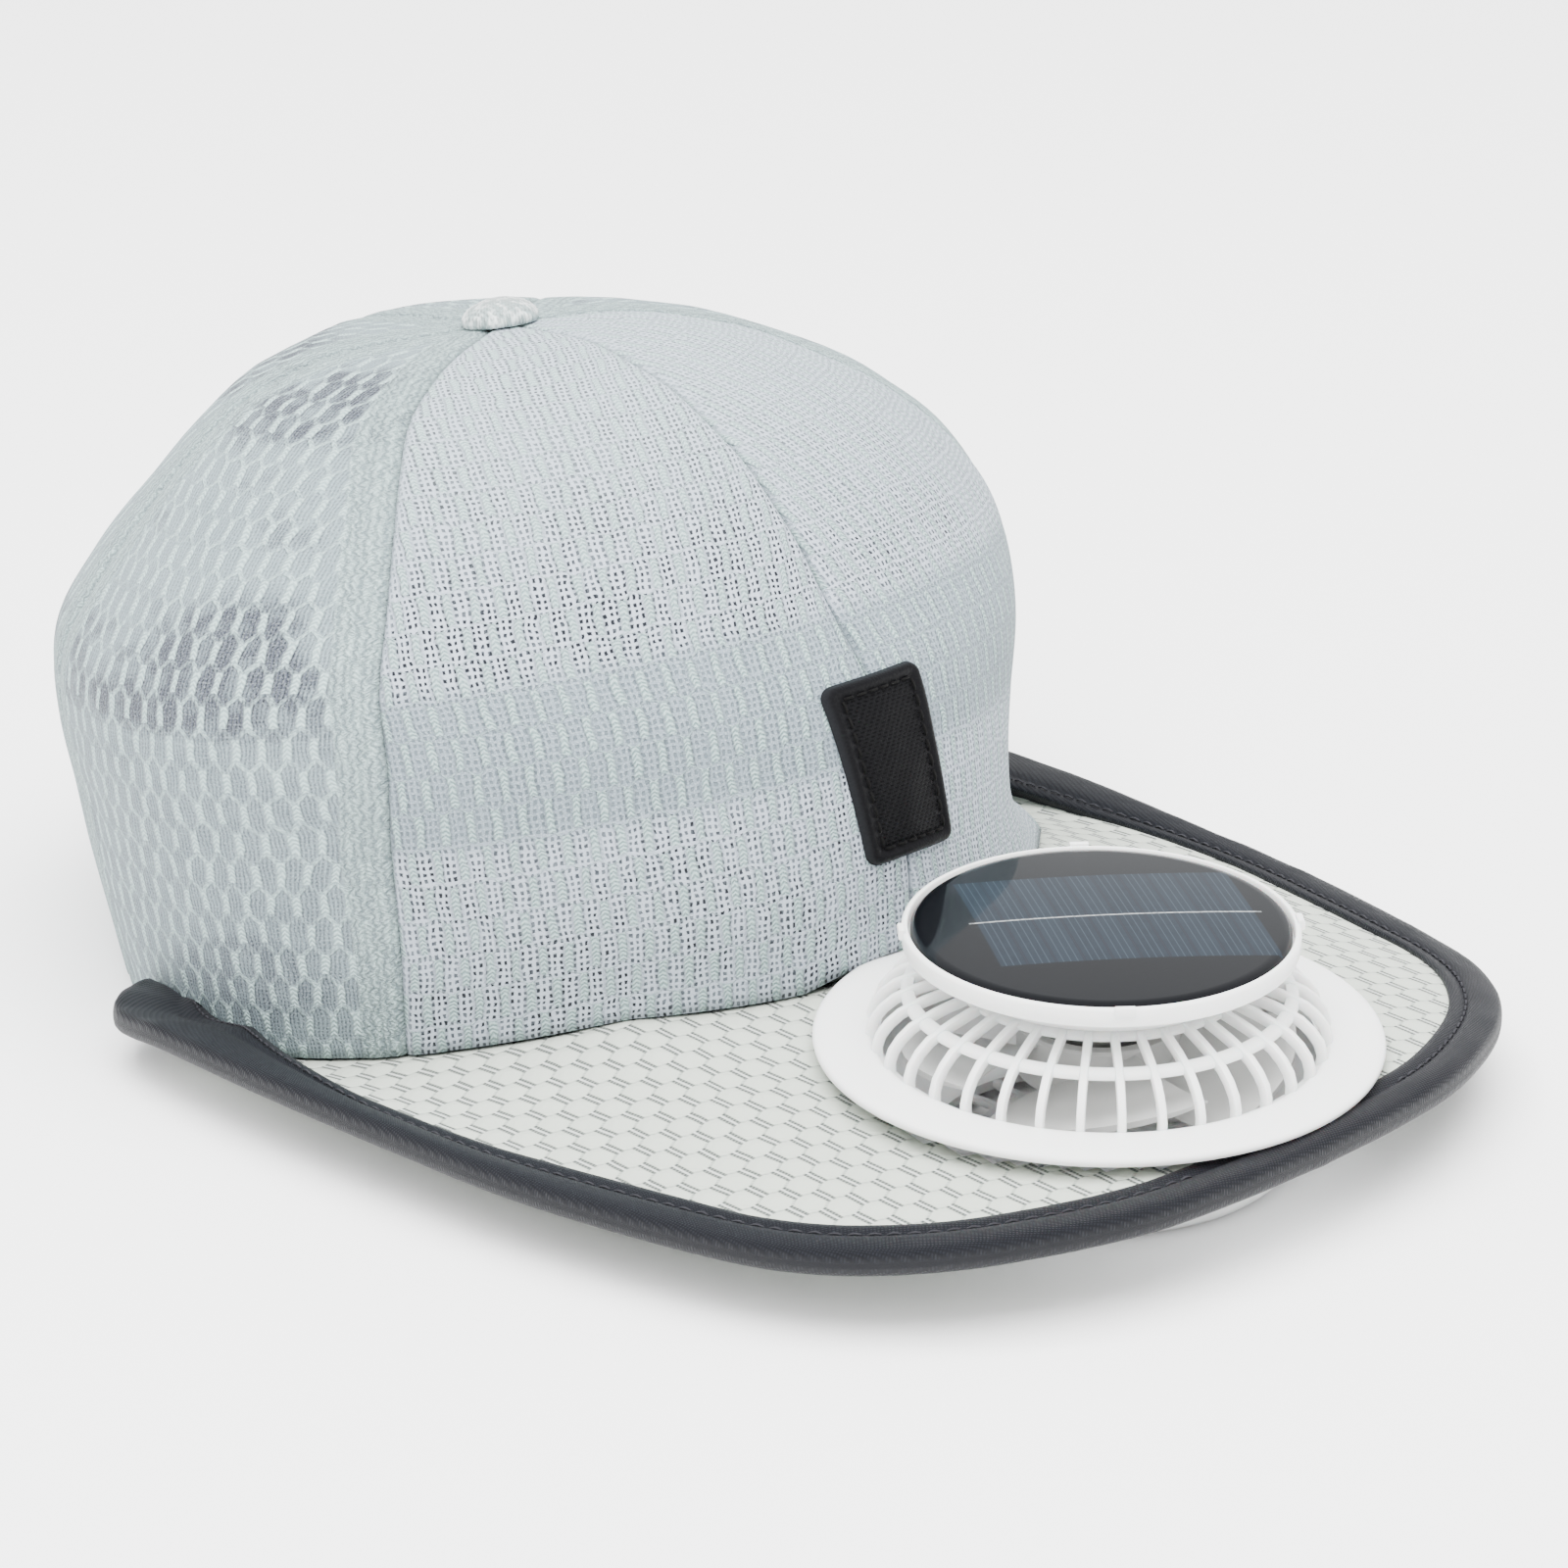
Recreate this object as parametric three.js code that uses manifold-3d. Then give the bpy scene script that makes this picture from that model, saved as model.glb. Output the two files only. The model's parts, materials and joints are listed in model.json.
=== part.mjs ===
import * as THREE from 'three';
import { mergeVertices } from 'three/addons/utils/BufferGeometryUtils.js';
import Module from 'manifold-3d';

const wasm = await Module();
wasm.setup();

// A cap with a solar fan let into its brim
// Millimetres, Z up, front of the cap toward -Y, wearer's left toward +X
// Shapes are drawn with the brim level, then the whole cap is leant forward onto its rest

// Rest
const REST_TILT = 1.8;
const REST_SHIFT = 31.52;
const REST_LIFT = 24.39;

// Crown
const CROWN_FRONT = 96;
const CROWN_SIDE = 90;
const CROWN_BACK = 99;
const CROWN_HEIGHT = 106.5;
const CROWN_LEAN = 10.6;
const CROWN_CENTRE_Y = 11.5;
const CROWN_CENTRE_Z = -11.25;
const CROWN_SQUARENESS = 1.9;
const CROWN_WALL = 1.6;
const SIDE_HEM_DROP = 9.4;
const BACK_HEM_RISE = 3.4;
const TOP_BACK_RISE = 2.4;
const LEFT_DENT = 3.4;
const LEFT_DENT_ANGLE = 60;
const LEFT_DENT_HEIGHT = 0.2;
const LEFT_FLARE = 6;
const LEFT_FLARE_ANGLE = 66;
const LEFT_FLARE_HEIGHT = 0.09;
const SEAM_GAP = 0.3;
const SEAM_DIP = 0.9;
const PANEL_FILL = 0.8;
const APEX_RADIUS = 3.2;
const APEX_Y = 0.5;
const APEX_RISE = 3.4;
const CLOTH_SPLIT = 0.86;
const PANEL_ROWS = 13;
const PANEL_COLUMNS = 7;

// Hem at the front, lifted over the fan flange
const HEM_FRONT_LIMIT = 1.1;
const HEM_FLANGE_RISE = 3.9;
const HEM_FLANGE_HALF = 30;

// Button and patch
const BUTTON_RADIUS = 7.2;
const BUTTON_HEIGHT = 4.6;
const BUTTON_SINK = 0.35;
const PATCH_WIDTH = 19.8;
const PATCH_LENGTH = 32.8;
const PATCH_THICKNESS = 1.5;
const PATCH_LOW = 16.6;
const PATCH_SHIFT = 0.5;
const PATCH_LEAN = -1.6;
const PATCH_CORNER = 2.4;
const PATCH_LIFT = 0.5;

// Brim
const BRIM_OVERHANG = 14.7;
const BRIM_FORWARD = 99.1;
const BRIM_HALF_WIDTH = CROWN_SIDE + BRIM_OVERHANG;
const BRIM_REACH = CROWN_FRONT - CROWN_CENTRE_Y + BRIM_FORWARD;
const BRIM_THICKNESS = 2.1;
const BRIM_CURL = 0.00103;
const BRIM_TOP = -0.6;
const BRIM_INNER_LIMIT = 0.5;
const BRIM_TUCK = 3;
const BRIM_HEEL = 2.2;
const BRIM_STATIONS = 28;
const BRIM_ROWS = 5;
const HEM_GAP = 0.65;
const HEM_UPRIGHT = 0.12;
const FAN_OPENING = 41.4;

// Binding
const BINDING_WIDTH = 8;
const BINDING_WALL = 1.0;
const BINDING_GAP = 0.45;

// Fan
const FAN_SETBACK = 53.1;
const FAN_Y = FAN_SETBACK - BRIM_REACH;
const FAN_Z = 2.9;
const FLANGE_RADIUS = 50.8;
const FLANGE_INNER = 40.6;
const FLANGE_THICKNESS = 2.2;
const SKIRT_DEPTH = 4.4;
const GRILLE_HEIGHT = 12.9;
const GRILLE_BAND = 6.6;
const HOOP_RADIUS = FLANGE_INNER - GRILLE_BAND;
const HOOP_HEIGHT = 9;
const NECK_RADIUS = 25;
const GRILLE_RIBS = 36;
const RIB_WIDTH = 1.9;
const DISC_RADIUS = 33.6;
const DISC_DOME = 1.1;
const DISC_GAP = 0.4;
const DISH_LIP = 1.2;
const DISH_RADIUS = DISC_RADIUS + DISC_GAP + DISH_LIP;
const DISH_TOP = 21.7;
const DISH_RIM = 2.9;
const DISH_FLOOR = 13.2;
const TAB_COUNT = 4;
const TAB_TURN = 51;
const TAB_DEPTH = 1.4;
const TAB_WIDTH = 3.6;
const TAB_HEIGHT = 1.9;
const GUARD_RADIUS = 49;
const GUARD_BOTTOM_RADIUS = 33;
const GUARD_DEPTH = 22.1;
const GUARD_WALL = 1.8;
const GUARD_DROP = 1.3;
const GUARD_SLOTS = 24;
const MOTOR_RADIUS = 11;
const MOTOR_LENGTH = 12;
const SHAFT_RADIUS = 1.2;
const ROTOR_RADIUS = 35;
const HUB_RADIUS = 14.6;
const HUB_WALL = 2.4;
const HUB_BOTTOM = -6.5;
const HUB_TOP = 3.5;
const BLADE_COUNT = 5;
const BLADE_THICKNESS = 1.4;
const BLADE_TWIST = 34;
const TURN_PARTS = 36;

// Crown rows: height and reaches as shares of the named sizes, and the angle of the front seams
const CROWN_ROWS = [
  { height: 0, front: 1, right: 0.979, left: 0.955, back: 1, seam: 62.8 },
  { height: 0.07, front: 1.012, right: 0.988, left: 0.9, back: 1.015, seam: 62.3 },
  { height: 0.15, front: 1.021, right: 0.998, left: 0.852, back: 1.03, seam: 61.5 },
  { height: 0.319, front: 1.005, right: 1.016, left: 0.92, back: 1.05, seam: 60 },
  { height: 0.46, front: 0.969, right: 1.034, left: 1.025, back: 1.056, seam: 57.5 },
  { height: 0.582, front: 0.885, right: 1.02, left: 1.065, back: 1.005, seam: 56 },
  { height: 0.695, front: 0.81, right: 0.925, left: 0.995, back: 0.9, seam: 56 },
  { height: 0.808, front: 0.706, right: 0.79, left: 0.845, back: 0.775, seam: 57 },
  { height: 0.892, front: 0.594, right: 0.665, left: 0.68, back: 0.675, seam: 58.5 },
  { height: 0.958, front: 0.466, right: 0.53, left: 0.51, back: 0.575, seam: 60 },
  { height: 1, front: 0.33, right: 0.375, left: 0.345, back: 0.45, seam: 60 },
];

// Brim outline from the front to a rear corner: shares of half width and reach, the drop of
// the edge in mm on each side, and the crown angle that the row starts from
const BRIM_TABLE = [
  { across: 0, forward: 1, right: -1, left: -1, angle: 0 },
  { across: 0.19, forward: 0.995, right: -1.2, left: -1.5, angle: 9 },
  { across: 0.372, forward: 0.978, right: -1.7, left: -2.3, angle: 18 },
  { across: 0.56, forward: 0.93, right: -2.3, left: -2.5, angle: 28 },
  { across: 0.7, forward: 0.87, right: -2.7, left: -2.4, angle: 36 },
  { across: 0.808, forward: 0.79, right: -3, left: -2, angle: 43 },
  { across: 0.877, forward: 0.686, right: -3.2, left: -1.5, angle: 50 },
  { across: 0.95, forward: 0.497, right: -3.4, left: -1, angle: 62 },
  { across: 0.981, forward: 0.319, right: -3.2, left: -0.6, angle: 70 },
  { across: 1, forward: 0.13, right: -2.6, left: -0.2, angle: 79 },
  { across: 0.998, forward: -0.03, right: -1, left: 0.8, angle: 82.5 },
  { across: 0.99, forward: -0.09, right: 0.8, left: 2, angle: 85 },
  { across: 0.975, forward: -0.127, right: 2.2, left: 3.2, angle: 87 },
  { across: 0.935, forward: -0.155, right: 3.7, left: 4.6, angle: 89 },
  { across: 0.885, forward: -0.172, right: 5.4, left: 6, angle: 90.5 },
  { across: 0.84, forward: -0.178, right: 7, left: 7.5, angle: 92 },
];

const PANELS = [
  { name: 'panel_front_right', from: -60, to: 0 },
  { name: 'panel_front_left', from: 0, to: 60 },
  { name: 'panel_side_left', from: 60, to: 120 },
  { name: 'panel_back_left', from: 120, to: 180 },
  { name: 'panel_back_right', from: 180, to: 240 },
  { name: 'panel_side_right', from: 240, to: 300 },
];

const rad = THREE.MathUtils.degToRad;
const vec = (x, y, z) => new THREE.Vector3(x, y, z);

// Smooth reading of one column of a table at a share of its key column
function column(rows, key, name, at) {
  let k = 0;
  while (k < rows.length - 2 && at > rows[k + 1][key]) k += 1;
  const slope = (i) => {
    const a = rows[Math.max(i - 1, 0)];
    const b = rows[Math.min(i + 1, rows.length - 1)];
    return (b[name] - a[name]) / (b[key] - a[key]);
  };
  const step = rows[k + 1][key] - rows[k][key];
  const t = (at - rows[k][key]) / step;
  const h00 = (1 + 2 * t) * (1 - t) ** 2;
  const h10 = t * (1 - t) ** 2;
  const h01 = t * t * (3 - 2 * t);
  const h11 = t * t * (t - 1);
  const low = h00 * rows[k][name] + h10 * step * slope(k);
  return low + h01 * rows[k + 1][name] + h11 * step * slope(k + 1);
}

// Level of the hem allowed at a place across the front
function hemLimit(x, y) {
  if (y > 0) return Infinity;
  const share = Math.min(Math.abs(x) / HEM_FLANGE_HALF, 1);
  return HEM_FRONT_LIMIT + HEM_FLANGE_RISE * (1 - share * share) - BRIM_CURL * x * x * 0.6;
}

// Point of the crown before its front hem is held down, angle in degrees from the front
// toward the wearer's left. The cloth is dented beside the left front seam and
// flares at the hem below it
function crownRaw(u, angle) {
  const s = Math.sin(rad(angle));
  const c = Math.cos(rad(angle));
  const power = 2 / CROWN_SQUARENESS;
  const sx = Math.sign(s) * Math.abs(s) ** power;
  const cy = Math.sign(c) * Math.abs(c) ** power;
  const wide = CROWN_SIDE * column(CROWN_ROWS, 'height', s > 0 ? 'left' : 'right', u);
  const reach = c > 0
    ? CROWN_FRONT * column(CROWN_ROWS, 'height', 'front', u)
    : CROWN_BACK * column(CROWN_ROWS, 'height', 'back', u);
  const foot = (1 - u) ** 1.5;
  const fromDent = ((angle - LEFT_DENT_ANGLE) / 16) ** 2 + ((u - LEFT_DENT_HEIGHT) / 0.11) ** 2;
  const fromFlare = ((angle - LEFT_FLARE_ANGLE) / 14) ** 2 + (u / LEFT_FLARE_HEIGHT) ** 2;
  const swell = LEFT_FLARE * Math.exp(-fromFlare) - LEFT_DENT * Math.exp(-fromDent);
  const x = wide * sx + swell * s;
  const y = -reach * cy - swell * c;
  let z = CROWN_HEIGHT * u;
  if (c < 0) z += foot * BACK_HEM_RISE * cy * cy;
  z -= foot * SIDE_HEM_DROP * sx * sx;
  z += u ** 3 * TOP_BACK_RISE * (1 - cy) / 2;
  const lean = rad(CROWN_LEAN);
  return vec(
    x,
    CROWN_CENTRE_Y + y * Math.cos(lean) + z * Math.sin(lean),
    CROWN_CENTRE_Z - y * Math.sin(lean) + z * Math.cos(lean),
  );
}

// Point of the crown's outer face, with the front hem held down and the cloth above following it
function crownPoint(u, angle) {
  const p = crownRaw(u, angle);
  const hem = crownRaw(0, angle);
  const held = Math.max(0, hem.z - hemLimit(hem.x, hem.y));
  p.z -= held * (1 - u) ** 6;
  return p;
}

// Cloth carried on from the last row to the small hole under the button
function crownCloth(v, angle) {
  if (v <= CLOTH_SPLIT) return crownPoint(v / CLOTH_SPLIT, angle);
  const t = (v - CLOTH_SPLIT) / (1 - CLOTH_SPLIT);
  const rim = crownPoint(1, angle);
  const lean = rad(CROWN_LEAN);
  const top = CROWN_HEIGHT + APEX_RISE;
  const s = Math.sin(rad(angle));
  const c = Math.cos(rad(angle));
  const y = APEX_Y - APEX_RADIUS * c;
  const tip = vec(
    APEX_RADIUS * s,
    CROWN_CENTRE_Y + y * Math.cos(lean) + top * Math.sin(lean),
    CROWN_CENTRE_Z - y * Math.sin(lean) + top * Math.cos(lean),
  );
  const out = rim.clone().lerp(tip, t);
  out.z += 1.1 * Math.sin(Math.PI * t) * (1 - t);
  return out;
}

// Angle of a seam at a height: the two front seams lean, the others stay
function seamAngle(v, angle) {
  if (angle !== -60 && angle !== 60 && angle !== 300) return angle;
  const lean = column(CROWN_ROWS, 'height', 'seam', Math.min(v / CLOTH_SPLIT, 1)) - 60;
  return angle + (angle === 60 ? lean : -lean);
}

function crownNormal(v, angle) {
  const dv = 0.012;
  const da = 1.5;
  const up = crownCloth(Math.min(v + dv, 1), angle).sub(crownCloth(Math.max(v - dv, 0), angle));
  const round = crownCloth(v, angle + da).sub(crownCloth(v, angle - da));
  const normal = round.cross(up).normalize();
  normal.z *= Math.min(1, v / HEM_UPRIGHT);
  return normal.normalize();
}

// Closed solid between two grids of points of one size
function between(outer, inner) {
  const rows = outer.length;
  const cols = outer[0].length;
  const points = [];
  const faces = [];
  for (const grid of [outer, inner]) {
    for (const p of grid.flat()) points.push(p.x, p.y, p.z);
  }
  const base = rows * cols;
  const at = (i, j, side) => side * base + i * cols + j;
  const quad = (a, b, c, d) => faces.push(a, b, c, a, c, d);
  for (let i = 0; i < rows - 1; i += 1) {
    for (let j = 0; j < cols - 1; j += 1) {
      quad(at(i, j, 0), at(i, j + 1, 0), at(i + 1, j + 1, 0), at(i + 1, j, 0));
      quad(at(i, j, 1), at(i + 1, j, 1), at(i + 1, j + 1, 1), at(i, j + 1, 1));
    }
  }
  for (let j = 0; j < cols - 1; j += 1) {
    quad(at(0, j, 0), at(0, j, 1), at(0, j + 1, 1), at(0, j + 1, 0));
    quad(at(rows - 1, j, 0), at(rows - 1, j + 1, 0), at(rows - 1, j + 1, 1), at(rows - 1, j, 1));
  }
  for (let i = 0; i < rows - 1; i += 1) {
    quad(at(i, 0, 0), at(i + 1, 0, 0), at(i + 1, 0, 1), at(i, 0, 1));
    quad(at(i, cols - 1, 0), at(i, cols - 1, 1), at(i + 1, cols - 1, 1), at(i + 1, cols - 1, 0));
  }
  const g = new THREE.BufferGeometry();
  g.setAttribute('position', new THREE.Float32BufferAttribute(points, 3));
  g.setIndex(faces);
  return g;
}

function bare(geometry) {
  const g = geometry.clone();
  for (const name of ['normal', 'uv']) if (g.getAttribute(name)) g.deleteAttribute(name);
  return mergeVertices(g, 1e-4);
}

function toSolid(geometry) {
  const g = bare(geometry);
  const mesh = new wasm.Mesh({
    numProp: 3,
    vertProperties: Float32Array.from(g.getAttribute('position').array),
    triVerts: Uint32Array.from(g.getIndex().array),
  });
  return new wasm.Manifold(mesh);
}

function toGeometry(solid) {
  const mesh = solid.getMesh();
  const g = new THREE.BufferGeometry();
  g.setAttribute('position', new THREE.Float32BufferAttribute(mesh.vertProperties, 3));
  g.setIndex(Array.from(mesh.triVerts));
  return g;
}

// Solid of revolution from a closed run of [radius, height]
function turned(profile, parts = TURN_PARTS) {
  const run = profile.map(([r, z]) => new THREE.Vector2(r, z));
  if (profile[0][0] > 0 || profile[profile.length - 1][0] > 0) run.push(run[0].clone());
  return new THREE.LatheGeometry(run, parts).rotateX(Math.PI / 2);
}

// Upright prism from a plan outline
function prism(outline, low, high) {
  const shape = new THREE.Shape(outline.map(([x, y]) => new THREE.Vector2(x, y)));
  return new THREE.ExtrudeGeometry(shape, { depth: high - low, bevelEnabled: false }).translate(0, 0, low);
}

// Window between two radii, with straight sides that leave an even rib to each neighbour
function slot(inner, outer, middle, count, rib, low, high) {
  const half = Math.PI / count;
  const outline = [];
  for (const [radius, order] of [[inner, 1], [outer, -1]]) {
    const reach = half - Math.asin(rib / 2 / radius);
    for (const end of [-1, 1]) {
      const a = middle + order * end * reach;
      outline.push([radius * Math.cos(a), radius * Math.sin(a)]);
    }
  }
  return prism(outline.reverse(), low, high);
}

const group = new THREE.Group();
const place = new THREE.Matrix4()
  .makeTranslation(0, REST_SHIFT, REST_LIFT)
  .multiply(new THREE.Matrix4().makeRotationX(rad(REST_TILT)));

function add(name, geometry, color, roughness = 0.8) {
  const g = bare(geometry);
  g.applyMatrix4(place);
  g.computeVertexNormals();
  const mesh = new THREE.Mesh(g, new THREE.MeshStandardMaterial({ color, roughness }));
  mesh.name = name;
  group.add(mesh);
}

// Crown panels
for (const panel of PANELS) {
  const outer = [];
  const inner = [];
  for (let i = 0; i < PANEL_ROWS; i += 1) {
    const v = i / (PANEL_ROWS - 1);
    const lineOut = [];
    const lineIn = [];
    const from = seamAngle(v, panel.from);
    const to = seamAngle(v, panel.to);
    const perDegree = crownCloth(v, panel.from + 30.5).distanceTo(crownCloth(v, panel.from + 29.5));
    const trim = SEAM_GAP / 2 / perDegree;
    for (let j = 0; j < PANEL_COLUMNS; j += 1) {
      const w = j / (PANEL_COLUMNS - 1);
      const angle = THREE.MathUtils.lerp(from + trim, to - trim, w);
      const across = Math.abs(2 * w - 1);
      const fade = Math.min(1, (1 - v) * 3);
      const shift = (PANEL_FILL * (1 - across ** 2) - SEAM_DIP * across ** 8) * fade;
      const normal = crownNormal(v, angle);
      const p = crownCloth(v, angle).addScaledVector(normal, shift * Math.min(1, 0.25 + v * 3));
      lineOut.push(p);
      lineIn.push(p.clone().addScaledVector(normal, -CROWN_WALL));
    }
    outer.push(lineOut);
    inner.push(lineIn);
  }
  add(panel.name, between(outer, inner), 0xd5dadb, 0.9);
}

// Button over the tips of the panels
{
  const lean = rad(CROWN_LEAN);
  const foot = CROWN_HEIGHT + APEX_RISE - BUTTON_SINK;
  const profile = [[0, 1.1]];
  profile.push([APEX_RADIUS + 1, 1.1]);
  profile.push([BUTTON_RADIUS, 0.35]);
  for (const a of [15, 38, 60, 78]) {
    profile.push([BUTTON_RADIUS * Math.cos(rad(a)) + 0.2, 0.5 + (BUTTON_HEIGHT - 0.5) * Math.sin(rad(a))]);
  }
  profile.push([0, BUTTON_HEIGHT]);
  const g = turned(profile, 24);
  g.translate(0, APEX_Y, foot);
  g.rotateX(-lean);
  g.translate(0, CROWN_CENTRE_Y, CROWN_CENTRE_Z);
  add('top_button', g, 0xc9d0cf, 0.6);
}

// Patch on the front seam
{
  const rows = 10;
  const cols = 6;
  const outer = [];
  const inner = [];
  for (let i = 0; i < rows; i += 1) {
    const t = i / (rows - 1);
    const fromEnd = Math.min(t, 1 - t) * PATCH_LENGTH;
    const cut = Math.max(0, 1 - fromEnd / PATCH_CORNER);
    const half = PATCH_WIDTH / 2 - PATCH_CORNER * (1 - Math.sqrt(Math.max(0, 1 - cut * cut)));
    const v = CLOTH_SPLIT * (PATCH_LOW + PATCH_LENGTH * t) / CROWN_HEIGHT;
    const lineOut = [];
    const lineIn = [];
    for (let j = 0; j < cols; j += 1) {
      const x = PATCH_SHIFT + PATCH_LEAN * (t - 0.5) + half * (2 * j / (cols - 1) - 1);
      const degree = crownCloth(v, 6).distanceTo(crownCloth(v, 0)) / 6;
      const angle = x / degree;
      const normal = crownNormal(v, 0);
      const p = crownCloth(v, angle).addScaledVector(normal, PATCH_LIFT);
      lineOut.push(p.clone().addScaledVector(normal, PATCH_THICKNESS));
      lineIn.push(p);
    }
    outer.push(lineOut);
    inner.push(lineIn);
  }
  add('front_patch', between(outer, inner), 0x1b1c1e, 0.55);
}

// Brim stations from the wearer's right rear corner round the front to the left one
const stations = [];
{
  const last = BRIM_TABLE.length - 1;
  const keyed = BRIM_TABLE.map((row, k) => ({ ...row, key: k }));
  for (let k = -BRIM_STATIONS; k <= BRIM_STATIONS; k += 1) {
    const at = Math.abs(k) / BRIM_STATIONS * last;
    const side = Math.sign(k);
    const x = side * BRIM_HALF_WIDTH * column(keyed, 'key', 'across', at);
    const y = -BRIM_REACH * column(keyed, 'key', 'forward', at);
    const drop = column(keyed, 'key', side > 0 ? 'left' : 'right', at);
    const z = BRIM_TOP - BRIM_CURL * x * x - drop;
    const angle = side * column(keyed, 'key', 'angle', at);
    const hem = crownCloth(0, angle);
    const outward = vec(hem.x, hem.y - CROWN_CENTRE_Y, 0).normalize();
    const start = hem.clone().addScaledVector(outward, -BRIM_TUCK);
    start.z = Math.min(hem.z - HEM_GAP, BRIM_INNER_LIMIT - BRIM_CURL * hem.x * hem.x * 0.6);
    const heel = hem.clone().addScaledVector(outward, BRIM_HEEL).setZ(start.z);
    stations.push({ start, heel, edge: vec(x, y, z) });
  }
}

const thin = vec(0, 0, -BRIM_THICKNESS);
{
  const top = [];
  const under = [];
  for (let i = 0; i < BRIM_ROWS; i += 1) {
    const t = (i - 1) / (BRIM_ROWS - 2);
    const line = stations.map(({ start, heel, edge }) => (i === 0 ? start : heel.clone().lerp(edge, t)));
    top.push(line);
    under.push(line.map((p) => p.clone().add(thin)));
  }
  const sheet = toSolid(between(under, top));
  const ring = turned([[0, -30], [FAN_OPENING, -30], [FAN_OPENING, 30], [0, 30]], TURN_PARTS);
  const brim = sheet.subtract(toSolid(ring.translate(0, FAN_Y, 0)));
  add('brim', toGeometry(brim), 0xdfe3dc, 0.9);
}

// Binding folded over the free edge
{
  const inner = BINDING_GAP;
  const wall = BINDING_GAP + BINDING_WALL;
  const low = -BRIM_THICKNESS;
  const fold = [
    [-BINDING_WIDTH, inner], [-BINDING_WIDTH, wall], [-1.5, wall], [0.8, wall - 0.5], [1.4, wall - 1.7],
    [1.4, low - wall + 1.7], [0.8, low - wall + 0.5], [-1.5, low - wall], [-BINDING_WIDTH, low - wall],
    [-BINDING_WIDTH, low - inner], [inner, low - inner], [inner, inner],
  ];
  const rings = stations.map(({ edge }, k) => {
    const before = stations[Math.max(k - 1, 0)].edge;
    const after = stations[Math.min(k + 1, stations.length - 1)].edge;
    const along = after.clone().sub(before).setZ(0).normalize();
    const outward = vec(along.y, -along.x, 0);
    const lie = edge.clone().sub(stations[k].heel).normalize();
    const reach = Math.max(lie.dot(outward), 0.5);
    return fold.map(([out, up]) => {
      const p = edge.clone().add(vec(0, 0, up));
      return out < 0 ? p.addScaledVector(lie, out / reach) : p.addScaledVector(outward, out);
    });
  });
  const points = [];
  const faces = [];
  for (const p of rings.flat()) points.push(p.x, p.y, p.z);
  const n = fold.length;
  for (let i = 0; i < rings.length - 1; i += 1) {
    for (let j = 0; j < n; j += 1) {
      const a = i * n + j;
      const b = i * n + (j + 1) % n;
      faces.push(a, b, b + n, a, b + n, a + n);
    }
  }
  const cap = THREE.ShapeUtils.triangulateShape(fold.map(([x, y]) => new THREE.Vector2(x, y)), []);
  const end = (rings.length - 1) * n;
  for (const [a, b, c] of cap) faces.push(a, b, c, end + a, end + c, end + b);
  const g = new THREE.BufferGeometry();
  g.setAttribute('position', new THREE.Float32BufferAttribute(points, 3));
  g.setIndex(faces);
  add('brim_binding', g, 0x33363f, 0.7);
}

const fanUp = (geometry) => geometry.translate(0, FAN_Y, FAN_Z);

// Flange, grille, hoop and neck
{
  const under = 1.5 - FLANGE_THICKNESS;
  const shell = turned([
    [0, GRILLE_HEIGHT - 2], [NECK_RADIUS - 1.6, GRILLE_HEIGHT - 2], [HOOP_RADIUS - 1.6, HOOP_HEIGHT - 1.6],
    [FLANGE_INNER - 2.6, 4.4], [FLANGE_INNER - 1.7, 0], [FLANGE_INNER - 1.7, -SKIRT_DEPTH],
    [FLANGE_INNER, -SKIRT_DEPTH], [FLANGE_INNER, under], [FLANGE_RADIUS - 0.8, under],
    [FLANGE_RADIUS, under + 0.7], [FLANGE_RADIUS, 0.4], [FLANGE_RADIUS - 1.4, 1.3],
    [FLANGE_INNER + 1.2, 1.5], [FLANGE_INNER + 0.1, 0.9], [FLANGE_INNER - 0.9, 5],
    [HOOP_RADIUS + 0.9, HOOP_HEIGHT], [HOOP_RADIUS - 0.9, HOOP_HEIGHT + 0.9], [NECK_RADIUS, GRILLE_HEIGHT],
    [0, GRILLE_HEIGHT],
  ]);
  let solid = toSolid(shell);
  const windows = [];
  for (let k = 0; k < GRILLE_RIBS; k += 1) {
    const middle = 2 * Math.PI * (k + 0.5) / GRILLE_RIBS;
    windows.push(slot(HOOP_RADIUS + 1, FLANGE_INNER + 0.3, middle, GRILLE_RIBS, RIB_WIDTH, 1.0, 30));
    windows.push(slot(NECK_RADIUS + 1.2, HOOP_RADIUS - 1.1, middle, GRILLE_RIBS, RIB_WIDTH, 1.0, 30));
  }
  for (const w of windows) solid = solid.subtract(toSolid(w));
  add('fan_housing', fanUp(toGeometry(solid)), 0xecedec, 0.35);
}

// Guard bowl below the brim
{
  const top = -FAN_Z + BRIM_TOP - BRIM_THICKNESS - GUARD_DROP;
  const low = -GUARD_DEPTH;
  const w = GUARD_WALL;
  const bowl = turned([
    [0, low], [GUARD_BOTTOM_RADIUS, low], [GUARD_BOTTOM_RADIUS + 3.4, low + 2.4],
    [FLANGE_INNER + 0.6, top - 2], [GUARD_RADIUS, top - 2], [GUARD_RADIUS, top], [FLANGE_INNER + 0.6, top],
    [FLANGE_INNER - 1.6, top - 2.4], [GUARD_BOTTOM_RADIUS + 1.7, low + w + 1.4],
    [GUARD_BOTTOM_RADIUS - 0.8, low + w], [0, low + w],
  ]);
  let solid = toSolid(bowl);
  for (let k = 0; k < GUARD_SLOTS; k += 1) {
    const middle = 2 * Math.PI * k / GUARD_SLOTS;
    const cutter = slot(12, GUARD_BOTTOM_RADIUS - 4, middle, GUARD_SLOTS, 1.8, low - 1, low + w + 1);
    solid = solid.subtract(toSolid(cutter));
  }
  add('fan_guard', fanUp(toGeometry(solid)), 0xe4e5e4, 0.4);
}

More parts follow.
